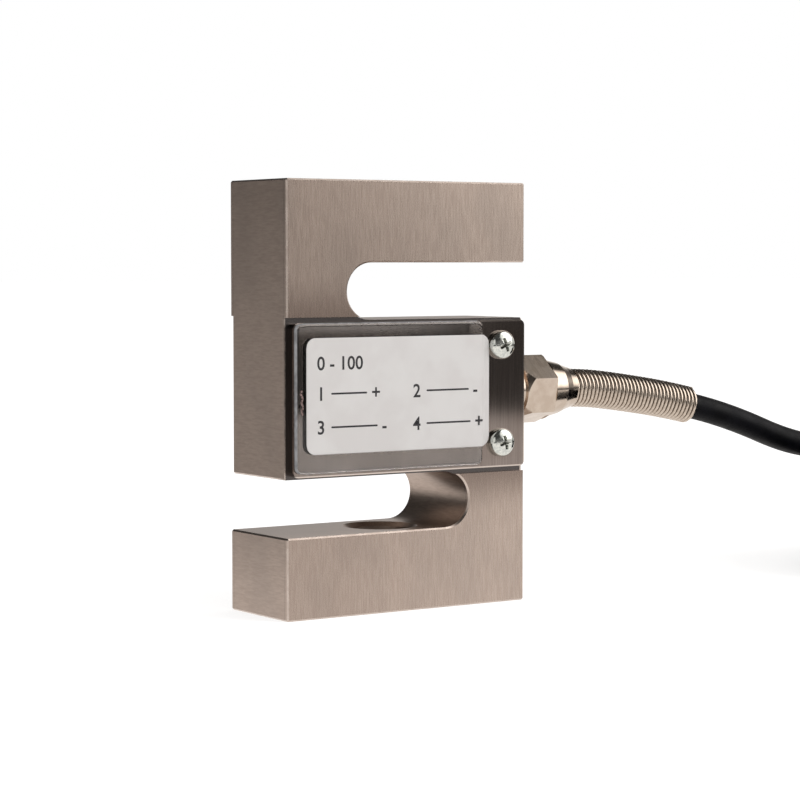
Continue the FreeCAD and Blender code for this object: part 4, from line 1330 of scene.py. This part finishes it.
def cable_tie(name, node):
    """The strap, its head against one side, the cut end above the head, and the teeth in sight."""
    low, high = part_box(node)
    middle_x, middle_z = (low.x + high.x) / 2, (low.z + high.z) / 2
    base = [vertex.co.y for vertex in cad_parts[node].data.vertices
            if abs(vertex.co.z - low.z) < 0.5 * MM]
    face = max(base)
    head_top = middle_z + HEAD_TALL / 2
    head = block((low.x, face - 0.1 * MM, middle_z - HEAD_TALL / 2), (high.x, high.y, head_top))
    end = block((middle_x - STRAP_WIDTH / 2, face + TAIL_START, head_top - 0.1 * MM),
                (middle_x + STRAP_WIDTH / 2, face + TAIL_STOP, head_top + TAIL_TALL))
    levels = [head_top + FIRST_TOOTH + TOOTH_PITCH * step for step in range(TEETH)]
    teeth = [block((middle_x - TOOTH_HALF, face - TOOTH_SUNK, level),
                   (middle_x + TOOTH_HALF, face + TOOTH_OUT, level + TOOTH_TALL))
             for level in levels if level < high.z - STRAP_CORNER]
    strap = strap_loop(low, Vector((high.x, face, high.z)))
    piece = new_piece(name, smooth(joined([strap, head, end, *teeth], name)), nylon)
    round_edges(piece, 0.15 * MM, 50)
    keep(piece, "tie_nylon", node)
    print(name, "has its head at y =", round(face / MM, 1), "mm and", len(teeth), "teeth in sight")
    return piece


nylon = tie_nylon()
ties = [cable_tie("hank_tie_rear", "tie_rear"), cable_tie("hank_tie_front", "tie_front")]

# %% [markdown]
# ## Cores and screen
#
# At its free end the cable is stripped: four coloured cores fan out, each bared for its last 5 mm,
# with the screen's drain wire between them. Every core is a NURBS line of its own from the cable's
# end. The bare wire is seven tinned strands, wound as poly lines round the core's line.

# %% Cores
CORE, STRAND = 1.3 * MM, 0.27 * MM
CORE_LENGTH, BARE_LENGTH = 13.0 * MM, 5.0 * MM
CORE_APART = 0.9 * MM
STRIP_OVERLAP = 0.02  # share of the length that a bare wire reaches under its insulation
# Where each leaves the jacket (side, height), and how far it has fanned out at its tip, in mm.
FANS = {"core_red": (-1, 1, -5.0), "core_green": (-1, -1, -2.2), "shield_drain": (0, 0, -0.2),
        "core_white": (1, -1, 1.6), "core_black": (1, 1, 5.0)}
INSULATION = {"core_red": (168, 30, 30), "core_green": (24, 120, 66), "core_white": (226, 225, 220),
              "core_black": (34, 34, 37)}
cut_end = cable_line[-1]
heading = (cable_line[-1] - cable_line[-2]).normalized()
aside = Vector((-heading.y, heading.x, 0))


def core_line(side, height, fan, start, end, steps=40):
    """Points of a core's line between two shares of its length."""
    first = cut_end + aside * CORE_APART * side + Vector((0, 0, CORE_APART * height))
    middle = first + heading * CORE_LENGTH * 0.35
    drop = Vector((0, 0, (cut_end.z - CORE / 2) * 0.95))
    last = cut_end + heading * CORE_LENGTH + aside * (CORE_APART * side + fan * MM) - drop
    points = []
    for step in range(steps + 1):
        share = start + (end - start) * step / steps
        points.append(first * (1 - share) ** 2 + middle * 2 * share * (1 - share) + last * share ** 2)
    return points


def wound_strands(name, points, turns=2.0):
    """Six strands wound round a seventh."""
    lines = [points]
    for strand in range(6):
        line = []
        for step, point in enumerate(points):
            along = (points[min(step + 1, len(points) - 1)] - points[max(step - 1, 0)]).normalized()
            across = along.cross(Vector((0, 0, 1))).normalized()
            angle = strand * math.pi / 3 + turns * 2 * math.pi * step / (len(points) - 1)
            out = across * math.cos(angle) + along.cross(across) * math.sin(angle)
            line.append(point + STRAND * out)
        lines.append(line)
    curve = new_curve(name, lines, STRAND, "POLY", 2)
    for line in curve.splines:
        line.use_smooth = True
    curve.materials.append(tinned)
    return put(name, curve)


def tinned_wire():
    finish = Finish("tinned_wire", Metallic=1.0)
    finish.set(Base_Color=finish.mottle(tone(196, 194, 190), tone(218, 216, 212), 0.5))
    finish.surface(finish.grain((0.4, 0.4, 0.4)), 0.2, 0.35)
    return finish.material


tinned = tinned_wire()
pvc = {node: soft_pvc(node.replace("core", "pvc"), [value * 0.92 for value in colour], colour)
       for node, colour in INSULATION.items()}
for node, fan in FANS.items():
    insulated = node in INSULATION
    stripped = 1 - BARE_LENGTH / CORE_LENGTH if insulated else STRIP_OVERLAP
    name = node.replace("core", "wire") if insulated else "drain_wire"
    strands = wound_strands(name, core_line(*fan, stripped - STRIP_OVERLAP, 1.0))
    keep(strands, "tinned_wire", *([] if insulated else [node]))
    if insulated:
        name = node.replace("core", "insulation")
        core = put(name, new_curve(name, [core_line(*fan, 0.0, stripped, 4)], CORE))
        core.data.materials.append(pvc[node])
        keep(core, node.replace("core_", "") + "_pvc", node)

# %% [markdown]
# ## Inside the chamber
#
# Four foil gauges sit on a thin web under soft sealant, wired to a small board that balances the
# bridge. The covers hide them, but the part can be opened up, so each has its own finish.

# %% Finishes inside
FOIL_PITCH = 0.5  # mm
PAD_ROWS, PAD_COLUMNS = 3.0, 2.5  # mm apart


def gauge_foil():
    finish = Finish("gauge_foil")
    x, _, z = finish.axes()
    across = finish.math("MULTIPLY", finish.math("ADD", x, z), 2 * math.pi / FOIL_PITCH)
    grid = finish.ease(finish.math("SINE", across), -0.2, 0.2)
    backing = finish.mottle(tone(186, 118, 40), tone(204, 136, 54), 1.2)
    finish.set(Base_Color=finish.blend(grid, backing, tone(196, 180, 150)))
    finish.set(Metallic=grid, Roughness=0.35)
    return finish.material


def soft_sealant():
    finish = Finish("soft_sealant", IOR=1.41, Subsurface_Weight=0.3)
    finish.set(Base_Color=finish.mottle(tone(206, 208, 206), tone(226, 227, 224), 2.0))
    finish.surface(finish.fine(2), 0.25, 0.45, 0.05)
    return finish.material


def board_laminate():
    finish = Finish("board_laminate", IOR=1.5)
    x, _, z = finish.axes()
    near = []
    for value, apart in ((z, PAD_ROWS), (x, PAD_COLUMNS)):
        wave = finish.math("SINE", finish.math("MULTIPLY", value, math.pi / apart))
        near.append(finish.math("GREATER_THAN", finish.math("ABSOLUTE", wave), 0.9))
    pad = finish.math("MULTIPLY", *near)
    green = finish.mottle(tone(18, 84, 46), tone(30, 104, 60), 1.5)
    finish.set(Base_Color=finish.blend(pad, green, tone(206, 202, 190)), Metallic=pad, Roughness=0.35)
    return finish.material


dress(gauge_foil(), *[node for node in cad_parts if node.startswith("gauge_")])
dress(soft_sealant(), "front_coating", "rear_coating")
dress(board_laminate(), "bridge_board")
for node in INSULATION:
    dress(pvc[node], node.replace("core", "lead"))
print("leads dressed:", len(INSULATION))

# %% [markdown]
# ## The cable joins the cell
#
# The cable is one cord, 3 m long, that leaves at the gland and lies coiled, and its ties and bare
# wires go with it.

keep(cable, "cable_jacket", "cable", "cable_hank", "cable_tail")
